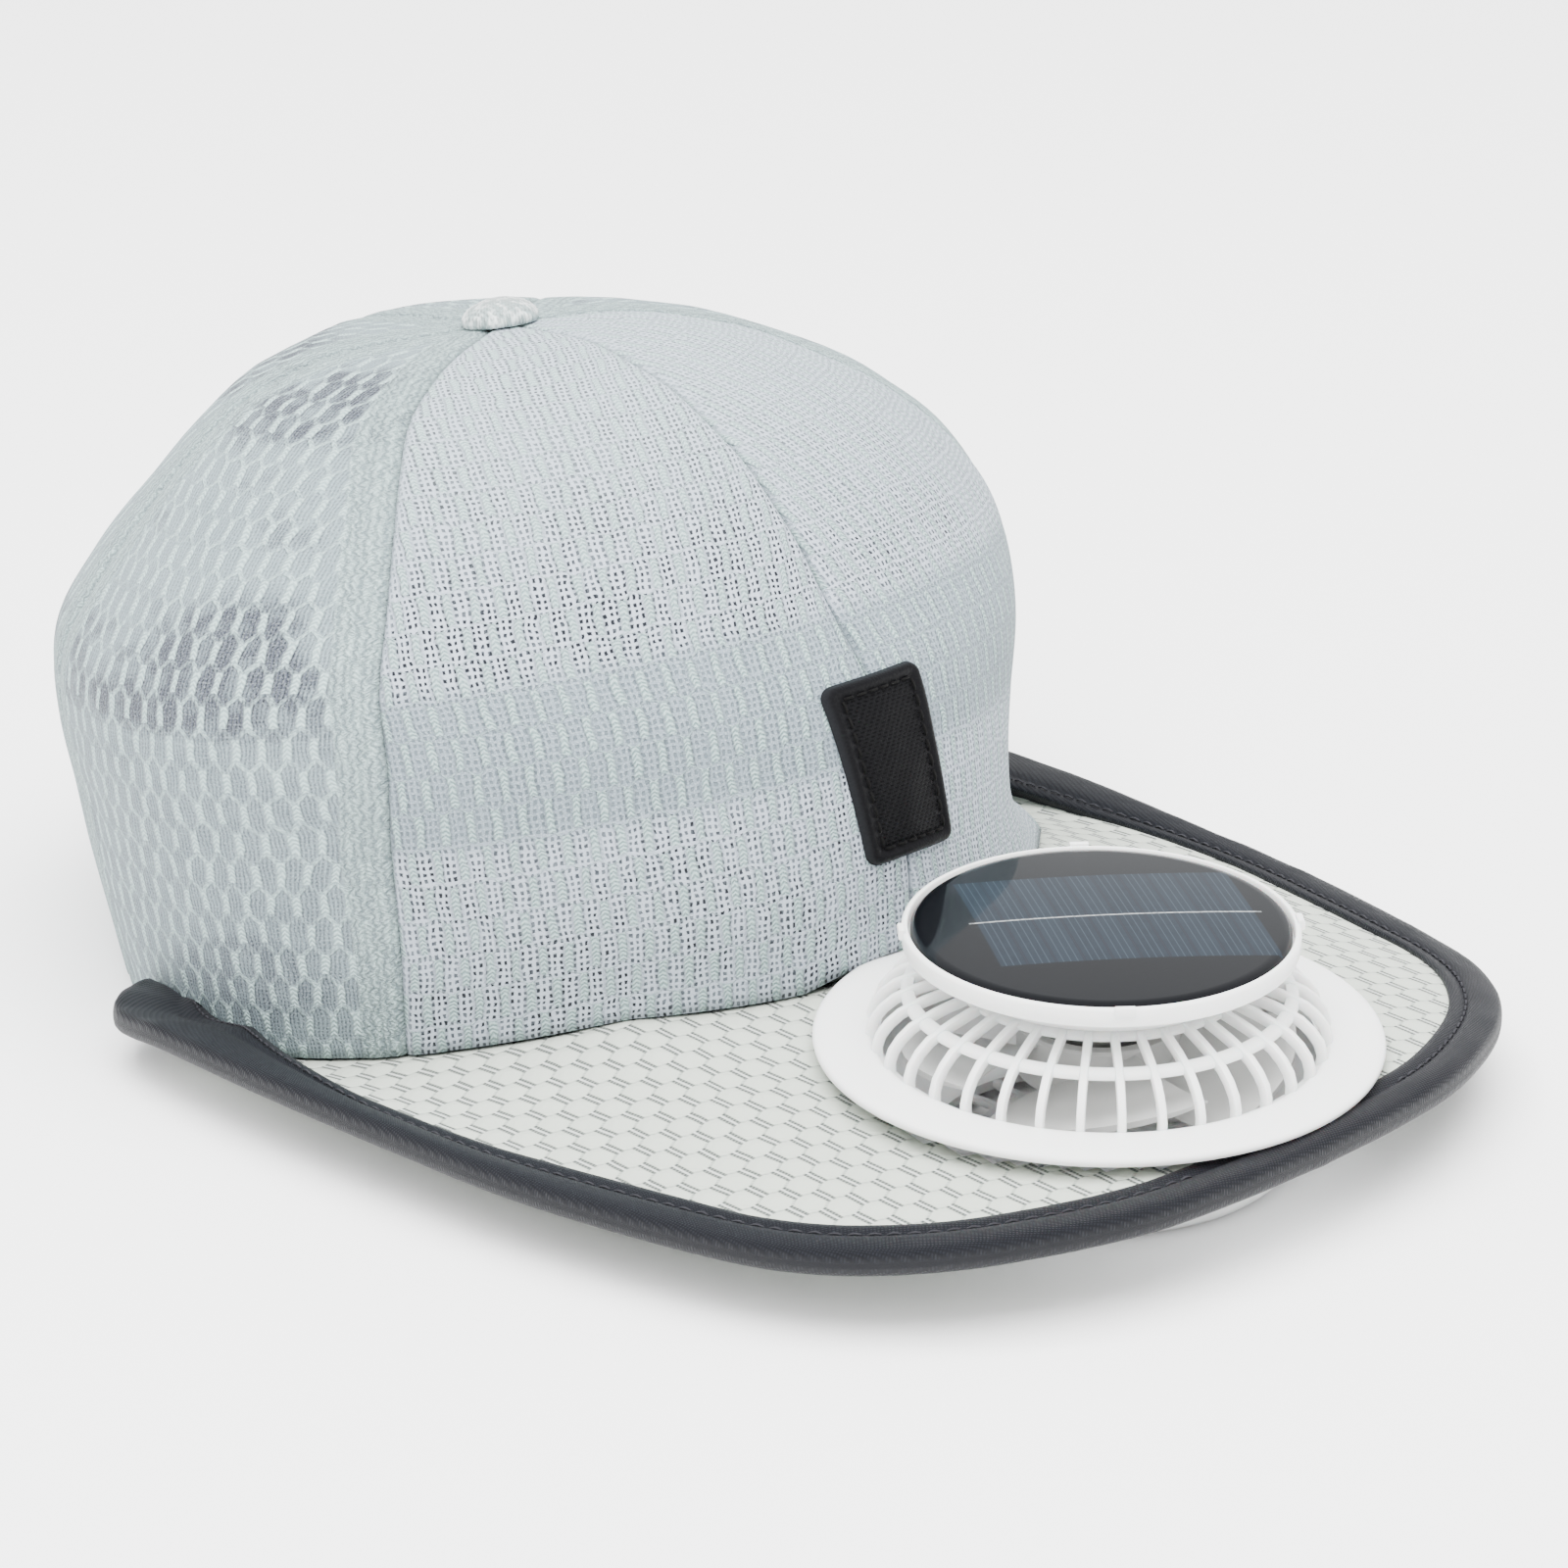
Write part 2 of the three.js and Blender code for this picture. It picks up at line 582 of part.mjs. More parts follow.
// Motor hung under the neck, with its shaft
{
  const top = GRILLE_HEIGHT - 2 - 0.3;
  const foot = top - MOTOR_LENGTH;
  const g = turned([
    [0, HUB_BOTTOM - 1], [SHAFT_RADIUS, HUB_BOTTOM - 1], [SHAFT_RADIUS, foot], [MOTOR_RADIUS, foot],
    [MOTOR_RADIUS, top], [0, top],
  ], 24);
  add('fan_motor', fanUp(g), 0x8d9196, 0.4);
}

// Rotor: cup hub round the motor and pitched blades
{
  const bore = SHAFT_RADIUS + 0.35;
  const cup = turned([
    [bore, HUB_BOTTOM], [HUB_RADIUS - 0.8, HUB_BOTTOM], [HUB_RADIUS, HUB_BOTTOM + 0.8],
    [HUB_RADIUS, HUB_TOP], [HUB_RADIUS - HUB_WALL, HUB_TOP], [HUB_RADIUS - HUB_WALL, HUB_BOTTOM + 2.4],
    [bore, HUB_BOTTOM + 2.4],
  ], 30);
  let solid = toSolid(cup);
  const span = (HUB_TOP - HUB_BOTTOM) / 2 - 0.6;
  const middle = (HUB_TOP + HUB_BOTTOM) / 2;
  for (let k = 0; k < BLADE_COUNT; k += 1) {
    const turn = 2 * Math.PI * k / BLADE_COUNT;
    const upper = [];
    const lower = [];
    for (let i = 0; i < 5; i += 1) {
      const share = i / 4;
      const r = THREE.MathUtils.lerp(HUB_RADIUS - 1, ROTOR_RADIUS, share);
      const up = [];
      const down = [];
      for (let j = 0; j < 4; j += 1) {
        const w = 2 * j / 3 - 1;
        const sweep = rad(BLADE_TWIST) * w + 0.12 * share ** 2;
        const z = middle + span * 0.92 * w * (1 - 0.15 * share);
        const x = r * Math.cos(turn + sweep);
        const y = r * Math.sin(turn + sweep);
        up.push(vec(x, y, z + BLADE_THICKNESS / 2));
        down.push(vec(x, y, z - BLADE_THICKNESS / 2));
      }
      upper.push(up);
      lower.push(down);
    }
    solid = solid.add(toSolid(between(lower, upper)));
  }
  add('fan_rotor', fanUp(toGeometry(solid)), 0xbfc3c4, 0.4);
}

// Solar dish with its clips
{
  const rim = DISH_TOP - DISH_RIM;
  const seat = DISH_TOP - 2.4;
  const dish = turned([
    [0, DISH_FLOOR], [NECK_RADIUS + 1, DISH_FLOOR], [NECK_RADIUS + 4.2, DISH_FLOOR + 2.2],
    [DISH_RADIUS - 0.9, rim - 0.7], [DISH_RADIUS, rim], [DISH_RADIUS, DISH_TOP - 0.3],
    [DISH_RADIUS - 0.3, DISH_TOP], [DISC_RADIUS + DISC_GAP, DISH_TOP], [DISC_RADIUS + DISC_GAP, seat],
    [DISC_RADIUS - 2.2, seat], [NECK_RADIUS + 2, DISH_FLOOR + 3.4], [NECK_RADIUS, DISH_FLOOR + 1.8],
    [0, DISH_FLOOR + 1.8],
  ]);
  let solid = toSolid(dish);
  for (let k = 0; k < TAB_COUNT; k += 1) {
    const tab = new THREE.BoxGeometry(TAB_DEPTH, TAB_WIDTH, TAB_HEIGHT)
      .translate(DISH_RADIUS + 0.05, 0, DISH_TOP - TAB_HEIGHT / 2 + 0.5)
      .rotateZ(rad(TAB_TURN + 360 * k / TAB_COUNT));
    solid = solid.add(toSolid(tab));
  }
  add('solar_dish', fanUp(toGeometry(solid)), 0xeeefee, 0.3);
}

// Solar disc, slightly domed
{
  const low = DISH_TOP - 2.1;
  const profile = [[0, low], [DISC_RADIUS, low], [DISC_RADIUS, low + 1.4]];
  for (const t of [0.985, 0.93, 0.8, 0.55, 0.28]) {
    profile.push([DISC_RADIUS * t, low + 2.1 + DISC_DOME * (1 - t * t)]);
  }
  profile.push([0, low + 2.1 + DISC_DOME]);
  add('solar_disc', fanUp(turned(profile)), 0x15171b, 0.12);
}

export default group;
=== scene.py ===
import json
import math
import random

import bpy
from mathutils import Matrix, Vector, noise

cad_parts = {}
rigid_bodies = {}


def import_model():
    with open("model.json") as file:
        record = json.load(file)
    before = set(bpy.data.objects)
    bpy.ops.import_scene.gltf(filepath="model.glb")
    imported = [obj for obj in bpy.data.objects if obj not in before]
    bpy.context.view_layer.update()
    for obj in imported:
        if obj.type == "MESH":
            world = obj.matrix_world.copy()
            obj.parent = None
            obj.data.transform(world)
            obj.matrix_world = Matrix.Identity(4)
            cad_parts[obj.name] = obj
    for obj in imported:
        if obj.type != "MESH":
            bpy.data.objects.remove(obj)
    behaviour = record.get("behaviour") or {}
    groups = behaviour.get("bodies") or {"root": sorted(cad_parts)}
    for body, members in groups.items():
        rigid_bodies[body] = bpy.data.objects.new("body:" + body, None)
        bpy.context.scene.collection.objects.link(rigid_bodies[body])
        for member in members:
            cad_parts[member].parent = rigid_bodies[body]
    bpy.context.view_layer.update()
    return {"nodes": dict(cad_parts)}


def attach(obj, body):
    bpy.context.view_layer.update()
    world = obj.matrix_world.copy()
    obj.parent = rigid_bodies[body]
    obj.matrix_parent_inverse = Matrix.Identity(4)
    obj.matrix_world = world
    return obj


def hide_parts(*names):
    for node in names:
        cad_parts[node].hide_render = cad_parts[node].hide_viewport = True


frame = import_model()

# Sizes in mm, drawn with the brim level, then leant onto the rest as the model is
REST_TILT = 1.8
REST_SHIFT = 31.52
REST_LIFT = 24.39
CROWN_FRONT = 96
CROWN_SIDE = 90
CROWN_BACK = 99
CROWN_HEIGHT = 106.5
CROWN_LEAN = math.radians(10.6)
CROWN_CENTRE = (11.5, -11.25)
SQUARENESS = 1.9
SIDE_HEM_DROP = 9.4
BACK_HEM_RISE = 3.4
TOP_BACK_RISE = 2.4
LEFT_DENT = 3.4
LEFT_DENT_ANGLE = 60
LEFT_DENT_HEIGHT = 0.2
LEFT_FLARE = 6
LEFT_FLARE_ANGLE = 66
LEFT_FLARE_HEIGHT = 0.09
CLOTH_THICKNESS = 1.1
HEM_FRONT_LIMIT = 1.1
HEM_FLANGE_RISE = 3.9
HEM_FLANGE_HALF = 23
APEX_RADIUS = 3.2
APEX_Y = 0.5
APEX_RISE = 3.4
CLOTH_SPLIT = 0.86
HEM_UPRIGHT = 0.12
BRIM_HALF_WIDTH = 104.7
BRIM_REACH = 183.6
BRIM_THICKNESS = 2.1
BRIM_CURL = 0.00103
BRIM_TOP = -0.6
BRIM_INNER_LIMIT = 0.5
BRIM_TUCK = 3
BRIM_HEEL = 2.2
HEM_GAP = 0.65
PATCH_WIDTH = 19.8
PATCH_LENGTH = 32.8
PATCH_LOW = 16.6
PATCH_SHIFT = 0.5
PATCH_LEAN = -1.6
PATCH_CORNER = 2.4
PATCH_LIFT = 0.5
PATCH_STITCH_INSET = 2.75
TAPE_WIDTH = 8.4
TAPE_STITCH_INSET = 5.25
TAPE_STITCH_STEP = 3.3
TAPE_STITCH_LENGTH = 2.3
FAN_OPENING = 44.5
GRILLE_RIBS = 36
GUARD_LOW = -22.1
GUARD_SLOTS = 24
BLADE_COUNT = 5
BLADE_ROOT = 14.2
BLADE_TIP = 35
DISC_RADIUS = 33.6
DISC_LOW = 19.6
DISH_TABS = 4
DISH_TAB_TURN = 51
FAN_Y = -130.5
FAN_Z = 2.9

PLACE = Matrix.Translation((0, REST_SHIFT, REST_LIFT)) @ Matrix.Rotation(math.radians(REST_TILT), 4, "X")

# height, front, right, left, back, seam angle
CROWN_ROWS = [
    (0.0, 1.0, 0.979, 0.955, 1.0, 62.8),
    (0.07, 1.012, 0.988, 0.9, 1.015, 62.3),
    (0.15, 1.021, 0.998, 0.852, 1.03, 61.5),
    (0.319, 1.005, 1.016, 0.92, 1.05, 60),
    (0.46, 0.969, 1.034, 1.025, 1.056, 57.5),
    (0.582, 0.885, 1.02, 1.065, 1.005, 56),
    (0.695, 0.81, 0.925, 0.995, 0.9, 56),
    (0.808, 0.706, 0.79, 0.845, 0.775, 57),
    (0.892, 0.594, 0.665, 0.68, 0.675, 58.5),
    (0.958, 0.466, 0.53, 0.51, 0.575, 60),
    (1.0, 0.33, 0.375, 0.345, 0.45, 60),
]
# across, forward, right drop, left drop, crown angle
BRIM_TABLE = [
    (0, 1, -1, -1, 0), (0.19, 0.995, -1.2, -1.5, 9), (0.372, 0.978, -1.7, -2.3, 18),
    (0.56, 0.93, -2.3, -2.5, 28), (0.7, 0.87, -2.7, -2.4, 36), (0.808, 0.79, -3, -2, 43),
    (0.877, 0.686, -3.2, -1.5, 50), (0.95, 0.497, -3.4, -1, 62), (0.981, 0.319, -3.2, -0.6, 70),
    (1, 0.13, -2.6, -0.2, 79), (0.998, -0.03, -1, 0.8, 82.5), (0.99, -0.09, 0.8, 2, 85),
    (0.975, -0.127, 2.2, 3.2, 87), (0.935, -0.155, 3.7, 4.6, 89), (0.885, -0.172, 5.4, 6, 90.5),
    (0.84, -0.178, 7, 7.5, 92),
]


def column(keys, values, at):
    k = 0
    last = len(keys) - 1
    while k < last - 1 and at > keys[k + 1]:
        k += 1

    def slope(i):
        a, b = max(i - 1, 0), min(i + 1, last)
        return (values[b] - values[a]) / (keys[b] - keys[a])

    step = keys[k + 1] - keys[k]
    t = (at - keys[k]) / step
    return (
        (1 + 2 * t) * (1 - t) ** 2 * values[k]
        + t * (1 - t) ** 2 * step * slope(k)
        + t * t * (3 - 2 * t) * values[k + 1]
        + t * t * (t - 1) * step * slope(k + 1)
    )


CROWN_COLUMNS = list(zip(*CROWN_ROWS))
BRIM_COLUMNS = list(zip(*BRIM_TABLE))


def crown_column(index, u):
    return column(CROWN_COLUMNS[0], CROWN_COLUMNS[index], u)


def hem_limit(x, y):
    if y > 0:
        return 1e9
    share = min(abs(x) / HEM_FLANGE_HALF, 1)
    return HEM_FRONT_LIMIT + HEM_FLANGE_RISE * (1 - share * share) - BRIM_CURL * x * x * 0.6


def crown_raw(u, angle):
    s, c = math.sin(math.radians(angle)), math.cos(math.radians(angle))
    power = 2 / SQUARENESS
    sx = math.copysign(abs(s) ** power, s)
    cy = math.copysign(abs(c) ** power, c)
    wide = CROWN_SIDE * crown_column(3 if s > 0 else 2, u)
    reach = CROWN_FRONT * crown_column(1, u) if c > 0 else CROWN_BACK * crown_column(4, u)
    foot = (1 - u) ** 1.5 if u < 1 else 0
    turn, high = (angle - LEFT_FLARE_ANGLE) / 14, u / LEFT_FLARE_HEIGHT
    swell = LEFT_FLARE * math.exp(-turn ** 2 - high ** 2)
    turn, high = (angle - LEFT_DENT_ANGLE) / 16, (u - LEFT_DENT_HEIGHT) / 0.11
    swell -= LEFT_DENT * math.exp(-turn ** 2 - high ** 2)
    y = -reach * cy - swell * c
    z = CROWN_HEIGHT * u + foot * (BACK_HEM_RISE * cy * cy if c < 0 else 0)
    z += -foot * SIDE_HEM_DROP * sx * sx + u ** 3 * TOP_BACK_RISE * (1 - cy) / 2
    return Vector((
        wide * sx + swell * s,
        CROWN_CENTRE[0] + y * math.cos(CROWN_LEAN) + z * math.sin(CROWN_LEAN),
        CROWN_CENTRE[1] - y * math.sin(CROWN_LEAN) + z * math.cos(CROWN_LEAN),
    ))


def crown_point(u, angle):
    p = crown_raw(u, angle)
    if u < 1:
        hem = crown_raw(0, angle)
        cut = max(0, hem.z - hem_limit(hem.x, hem.y))
        p.z -= cut * (1 - u) ** 6
    return p


def crown_cloth(v, angle):
    if v <= CLOTH_SPLIT:
        return crown_point(v / CLOTH_SPLIT, angle)
    t = (v - CLOTH_SPLIT) / (1 - CLOTH_SPLIT)
    rim = crown_point(1, angle)
    top = CROWN_HEIGHT + APEX_RISE
    y = APEX_Y - APEX_RADIUS * math.cos(math.radians(angle))
    tip = Vector((
        APEX_RADIUS * math.sin(math.radians(angle)),
        CROWN_CENTRE[0] + y * math.cos(CROWN_LEAN) + top * math.sin(CROWN_LEAN),
        CROWN_CENTRE[1] - y * math.sin(CROWN_LEAN) + top * math.cos(CROWN_LEAN),
    ))
    out = rim.lerp(tip, t)
    out.z += 1.1 * math.sin(math.pi * t) * (1 - t)
    return out


def crown_normal(v, angle):
    up = crown_cloth(min(v + 0.012, 1), angle) - crown_cloth(max(v - 0.012, 0), angle)
    turn = crown_cloth(v, angle + 1.5) - crown_cloth(v, angle - 1.5)
    n = turn.cross(up).normalized()
    n.z *= min(1, v / HEM_UPRIGHT)
    return n.normalized()


def seam_angle(v, angle):
    if angle not in (-60, 60, 300):
        return angle
    lean = crown_column(5, min(v / CLOTH_SPLIT, 1)) - 60
    return angle + (lean if angle == 60 else -lean)


# Mesh making

def make(name, verts, faces, material, body="cap", replaces=(), uvs=None, uvs2=None):
    mesh = bpy.data.meshes.new(name)
    mesh.from_pydata([tuple((PLACE @ Vector(v)) / 1000) for v in verts], [], faces)
    mesh.validate()
    mesh.polygons.foreach_set("use_smooth", [True] * len(mesh.polygons))
    for label, table in (("UVMap", uvs), ("Edge", uvs2)):
        if table is None:
            continue
        layer = mesh.uv_layers.new(name=label)
        for loop in mesh.loops:
            layer.data[loop.index].uv = table[loop.vertex_index]
    obj = bpy.data.objects.new(name, mesh)
    bpy.context.scene.collection.objects.link(obj)
    mesh.materials.append(material)
    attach(obj, body)
    if replaces:
        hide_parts(*replaces)
    return obj


def modifier(obj, kind, **values):
    m = obj.modifiers.new(kind.title(), kind)
    for key, value in values.items():
        setattr(m, key, value)
    return m


def grid_faces(rows, cols, start=0, flip=False, closed=False):
    faces = []
    span = cols if closed else cols - 1
    for i in range(rows - 1):
        for j in range(span):
            a = start + i * cols + j
            b = start + i * cols + (j + 1) % cols
            quad = (a, b, b + cols, a + cols)
            faces.append(quad[::-1] if flip else quad)
    return faces


def sheet_faces(rows, cols):
    """Faces of a sheet whose outer grid of verts is followed by the inner one."""
    count = rows * cols
    faces = grid_faces(rows, cols) + grid_faces(rows, cols, count, flip=True)
    for i in range(rows - 1):
        a, b = i * cols, (i + 1) * cols
        faces.append((a, b, b + count, a + count))
        a, b = a + cols - 1, b + cols - 1
        faces.append((b, a, a + count, b + count))
    for j in range(cols - 1):
        top = (rows - 1) * cols + j
        faces.append((j + 1, j, j + count, j + 1 + count))
        faces.append((top, top + 1, top + 1 + count, top + count))
    return faces


def lathe(profile, parts=128, centre=(0, FAN_Y, FAN_Z)):
    """Verts and faces of a closed or axis-to-axis run of (radius, height)."""
    verts = []
    faces = []
    rings = []
    for r, z in profile:
        if r < 1e-6:
            rings.append([len(verts)])
            verts.append((centre[0], centre[1], centre[2] + z))
            continue
        ring = []
        for k in range(parts):
            a = 2 * math.pi * k / parts
            ring.append(len(verts))
            verts.append((centre[0] + r * math.cos(a), centre[1] + r * math.sin(a), centre[2] + z))
        rings.append(ring)
    pairs = list(zip(rings, rings[1:]))
    if profile[0][0] > 1e-6:
        pairs.append((rings[-1], rings[0]))
    for low, high in pairs:
        if len(low) == 1 and len(high) == 1:
            continue
        for k in range(parts):
            n = (k + 1) % parts
            if len(low) == 1:
                faces.append((low[0], high[n], high[k]))
            elif len(high) == 1:
                faces.append((low[k], low[n], high[0]))
            else:
                faces.append((low[k], low[n], high[n], high[k]))
    return verts, faces


def join_parts(*parts):
    verts, faces = [], []
    for v, f in parts:
        base = len(verts)
        verts += [tuple(p) for p in v]
        faces += [tuple(i + base for i in face) for face in f]
    return verts, faces


def sweep(path, section, ups=None):
    """Section points (across, up) carried along a path with a given up at each point."""
    verts = []
    n = len(path)
    for k, p in enumerate(path):
        along = (path[min(k + 1, n - 1)] - path[max(k - 1, 0)]).normalized()
        side = along.cross(ups[k] if ups else Vector((0, 0, 1))).normalized()
        lift = side.cross(along).normalized()
        for a, b in section:
            verts.append(p + side * a + lift * b)
    m = len(section)
    faces = grid_faces(n, m, closed=True)
    faces.append(tuple(range(m))[::-1])
    faces.append(tuple((n - 1) * m + j for j in range(m)))
    return verts, faces


def rounded(width, height, r, steps=3):
    out = []
    for cx, cy, start in ((1, 1, 0), (-1, 1, 90), (-1, -1, 180), (1, -1, 270)):
        for k in range(steps + 1):
            a = math.radians(start + 90 * k / steps)
            out.append((cx * (width / 2 - r) + r * math.cos(a), cy * (height / 2 - r) + r * math.sin(a)))
    return out


# Material making

class Nodes:
    def __init__(self, name):
        self.mat = bpy.data.materials.new(name)
        self.mat.use_nodes = True
        self.tree = self.mat.node_tree
        self.tree.nodes.clear()
        self.out = self.tree.nodes.new("ShaderNodeOutputMaterial")
        self.shader = self.tree.nodes.new("ShaderNodeBsdfPrincipled")
        self.tree.links.new(self.shader.outputs[0], self.out.inputs[0])

    def set(self, **values):
        for key, value in values.items():
            socket = self.shader.inputs[key.replace("_", " ")]
            self.put(socket, value)

    def put(self, socket, value):
        if isinstance(value, bpy.types.NodeSocket):
            self.tree.links.new(value, socket)
        elif isinstance(value, (tuple, list)):
            color = len(value) == 3 and len(socket.default_value) == 4
            socket.default_value = (*value, 1.0) if color else value
        else:
            socket.default_value = value

    def node(self, kind, inputs=(), **attrs):
        n = self.tree.nodes.new("ShaderNode" + kind)
        for key, value in attrs.items():
            setattr(n, key, value)
        for key, value in dict(inputs).items():
            self.put(n.inputs[key], value)
        return n

    def math(self, op, a, b=0.0, c=0.0, clamp=False):
        n = self.node("Math", operation=op, use_clamp=clamp)
        for k, value in enumerate((a, b, c)):
            self.put(n.inputs[k], value)
        return n.outputs[0]

    def mix(self, factor, a, b, blend="MIX"):
        n = self.node("Mix", data_type="RGBA", blend_type=blend)
        self.put(n.inputs[0], factor)
        self.put(n.inputs[6], a)
        self.put(n.inputs[7], b)
        return n.outputs[2]

    def ramp(self, value, low, high):
        """0 below low, 1 above high, smooth between."""
        ends = {0: value, 1: low, 2: high, 3: 0.0, 4: 1.0}
        return self.node("MapRange", ends, interpolation_type="SMOOTHSTEP").outputs[0]

    def uv(self, layer="UVMap"):
        n = self.node("UVMap", uv_map=layer)
        s = self.node("SeparateXYZ", {0: n.outputs[0]})
        return n.outputs[0], s.outputs[0], s.outputs[1]

    def noise(self, vector, scale, detail=2.0, rough=0.5):
        n = self.node("TexNoise", {"Scale": scale, "Detail": detail, "Roughness": rough})
        if vector is not None:
            self.put(n.inputs["Vector"], vector)
        return n.outputs[0]

    def coords(self):
        return self.node("TexCoord").outputs["Object"]

    def bump(self, height, strength, distance):
        return self.node("Bump", {"Strength": strength, "Distance": distance, "Height": height}).outputs[0]

    def tri(self, value):
        """Triangle wave between -1 and 1 with period 1."""
        f = self.math("FRACT", value)
        d = self.math("ABSOLUTE", self.math("SUBTRACT", f, 0.5))
        return self.math("MULTIPLY_ADD", d, 4.0, -1.0)

    def wave(self, value):
        """0 to 1 sine with period 1."""
        s = self.math("SINE", self.math("MULTIPLY", value, 2 * math.pi))
        return self.math("MULTIPLY_ADD", s, 0.5, 0.5)


def hexes(n, x, y, wide, tall, wall, slim=1.0):
    """Staggered six-sided cells with upright walls. Returns how far in mm a point is from the
    nearest thread, square to it, and how far up the slant it is."""
    q = n.math("DIVIDE", y, tall)
    row = n.math("FLOOR", q)
    t = n.math("SUBTRACT", q, row)
    p = n.math("MULTIPLY_ADD", row, -0.5, n.math("DIVIDE", x, wide))
    f = n.math("SUBTRACT", n.math("FRACT", n.math("ADD", p, 0.5)), 0.5)
    slant = n.math("DIVIDE", n.math("SUBTRACT", t, wall), 1 - wall, clamp=True)
    off = n.math("SUBTRACT", n.math("ABSOLUTE", f), n.math("MULTIPLY", slant, 0.5))
    rise = tall * (1 - wall)
    square = rise / math.hypot(rise, wide / 2)
    lean = n.ramp(slant, 0.0, 0.12)
    reach = n.math("MULTIPLY", n.math("MULTIPLY_ADD", lean, square ** slim - 1, 1.0), wide)
    return n.math("MULTIPLY", off, reach), slant


def spot(n, x, y, at, size):
    """1 in the middle of an oval, 0 outside it."""
    a = n.math("DIVIDE", n.math("SUBTRACT", x, at[0]), size[0])
    b = n.math("DIVIDE", n.math("SUBTRACT", y, at[1]), size[1])
    d = n.math("SQRT", n.math("ADD", n.math("MULTIPLY", a, a), n.math("MULTIPLY", b, b)))
    return n.ramp(d, 1.15, 0.6)


def band(n, value, low, high, soft):
    return n.math("MULTIPLY", n.ramp(value, low - soft, low + soft), n.ramp(value, high + soft, high - soft))


def front_cloth(name, hole_shade_share):
    """Pale knit: staggered upright chain columns with a square net of small holes between them, the holes
    painted dark as shade from inside the crown.
    """
    n = Nodes(name)
    vec, x0, y0 = n.uv()
    _, edge, v = n.uv("Edge")
    x = n.math("MULTIPLY_ADD", n.noise(vec, 0.3, 2.0), 1.3, x0)
    y = n.math("MULTIPLY_ADD", n.noise(vec, 0.22, 2.0), 1.8, y0)
    off, slant = hexes(n, x, y, 4.7, 6.6, 0.8, -1.0)
    off = n.math("ABSOLUTE", off)
    worn = n.math("MULTIPLY", n.ramp(slant, 0.05, 0.4), 0.6)
    strand = n.math("MULTIPLY", n.ramp(off, 0.98, 0.5), n.math("SUBTRACT", 1.0, worn))
    stitch = n.wave(n.math("DIVIDE", n.math("MULTIPLY_ADD", off, 0.7, y), 0.85))
    net_x = n.math("MULTIPLY_ADD", n.noise(vec, 0.9, 2.0), 0.5, x)
    net_y = n.math("MULTIPLY_ADD", n.noise(vec, 0.8, 2.0), 0.6, y)
    hole_x = n.ramp(n.wave(n.math("DIVIDE", net_x, 1.12)), 0.40, 0.72)
    hole_y = n.ramp(n.wave(n.math("DIVIDE", net_y, 1.28)), 0.28, 0.66)
    hole = n.math("MULTIPLY", n.math("MULTIPLY", hole_x, hole_y), n.math("SUBTRACT", 1.0, strand))
    cloud = n.noise(vec, 0.05, 3.0, 0.6)
    spotty = n.noise(vec, 0.42, 3.0, 0.65)
    # painted shade: the shaded inside of the crown seen through the holes, mostly low and high on the panel;
    # hole_shade_share sets how much
    low = n.ramp(v, 0.30, 0.26)
    high = n.math("MULTIPLY_ADD", n.ramp(v, 0.54, 0.80), -0.45, 1.0)
    high = n.math("MULTIPLY", n.ramp(v, 0.47, 0.51), high)
    share = n.math("ADD", n.math("MULTIPLY", low, 0.68), high, clamp=True)
    share = n.math("MULTIPLY_ADD", share, 0.82, 0.18)
    share = n.math("MULTIPLY", share, n.math("MULTIPLY_ADD", n.ramp(cloud, 0.35, 0.65), 0.5, 0.6))
    share = n.math("MULTIPLY", share, n.math("MULTIPLY_ADD", n.ramp(spotty, 0.35, 0.7), 0.6, 0.55))
    share = n.math("MULTIPLY", share, hole_shade_share * 1.55, clamp=True)
    calm = n.math("SUBTRACT", 1.0, n.ramp(edge, 2.2, 0.8))
    hole_shade = n.math("MULTIPLY", n.math("MULTIPLY", hole, share), calm)
    fine = n.noise(vec, 3.0, 2.0)
    net = n.mix(cloud, (0.33, 0.35, 0.415), (0.42, 0.44, 0.495))
    solid = n.math("MULTIPLY", n.math("SUBTRACT", 1.0, high), n.math("SUBTRACT", 1.0, low))
    net = n.mix(n.math("MULTIPLY", solid, 0.85), net, (0.155, 0.19, 0.215))
    chain = n.mix(stitch, (0.13, 0.195, 0.19), (0.37, 0.475, 0.455))
    # painted shadow: a thin dark line beside each raised strand
    strand_shadow = n.math("MULTIPLY", n.ramp(off, 1.45, 1.05), n.ramp(off, 0.7, 0.95))
    strand_shadow = n.math("MULTIPLY", strand_shadow, n.math("SUBTRACT", 1.0, worn))
    tint = n.mix(n.math("MULTIPLY", strand, 0.9), net, chain)
    tint = n.mix(n.math("MULTIPLY", n.ramp(fine, 0.42, 0.75), 0.5), tint, (0.482, 0.51, 0.521))
    # painted shade: every hole somewhat darkened, as the shaded inside shows through
    tint = n.mix(n.math("MULTIPLY", hole, 0.6), tint, (0.095, 0.122, 0.137))
    strand_shadow = n.math("MULTIPLY", strand_shadow, n.math("MULTIPLY_ADD", stitch, -0.25, 0.45))
    tint = n.mix(strand_shadow, tint, (0.045, 0.06, 0.07))
    tint = n.mix(hole_shade, tint, (0.006, 0.007, 0.011))
    # painted shade in the seam groove: darker within 0.8 mm of the seam
    tint = n.mix(n.math("MULTIPLY", n.ramp(edge, 0.8, 0.1), 0.55), tint, (0.067, 0.084, 0.087))
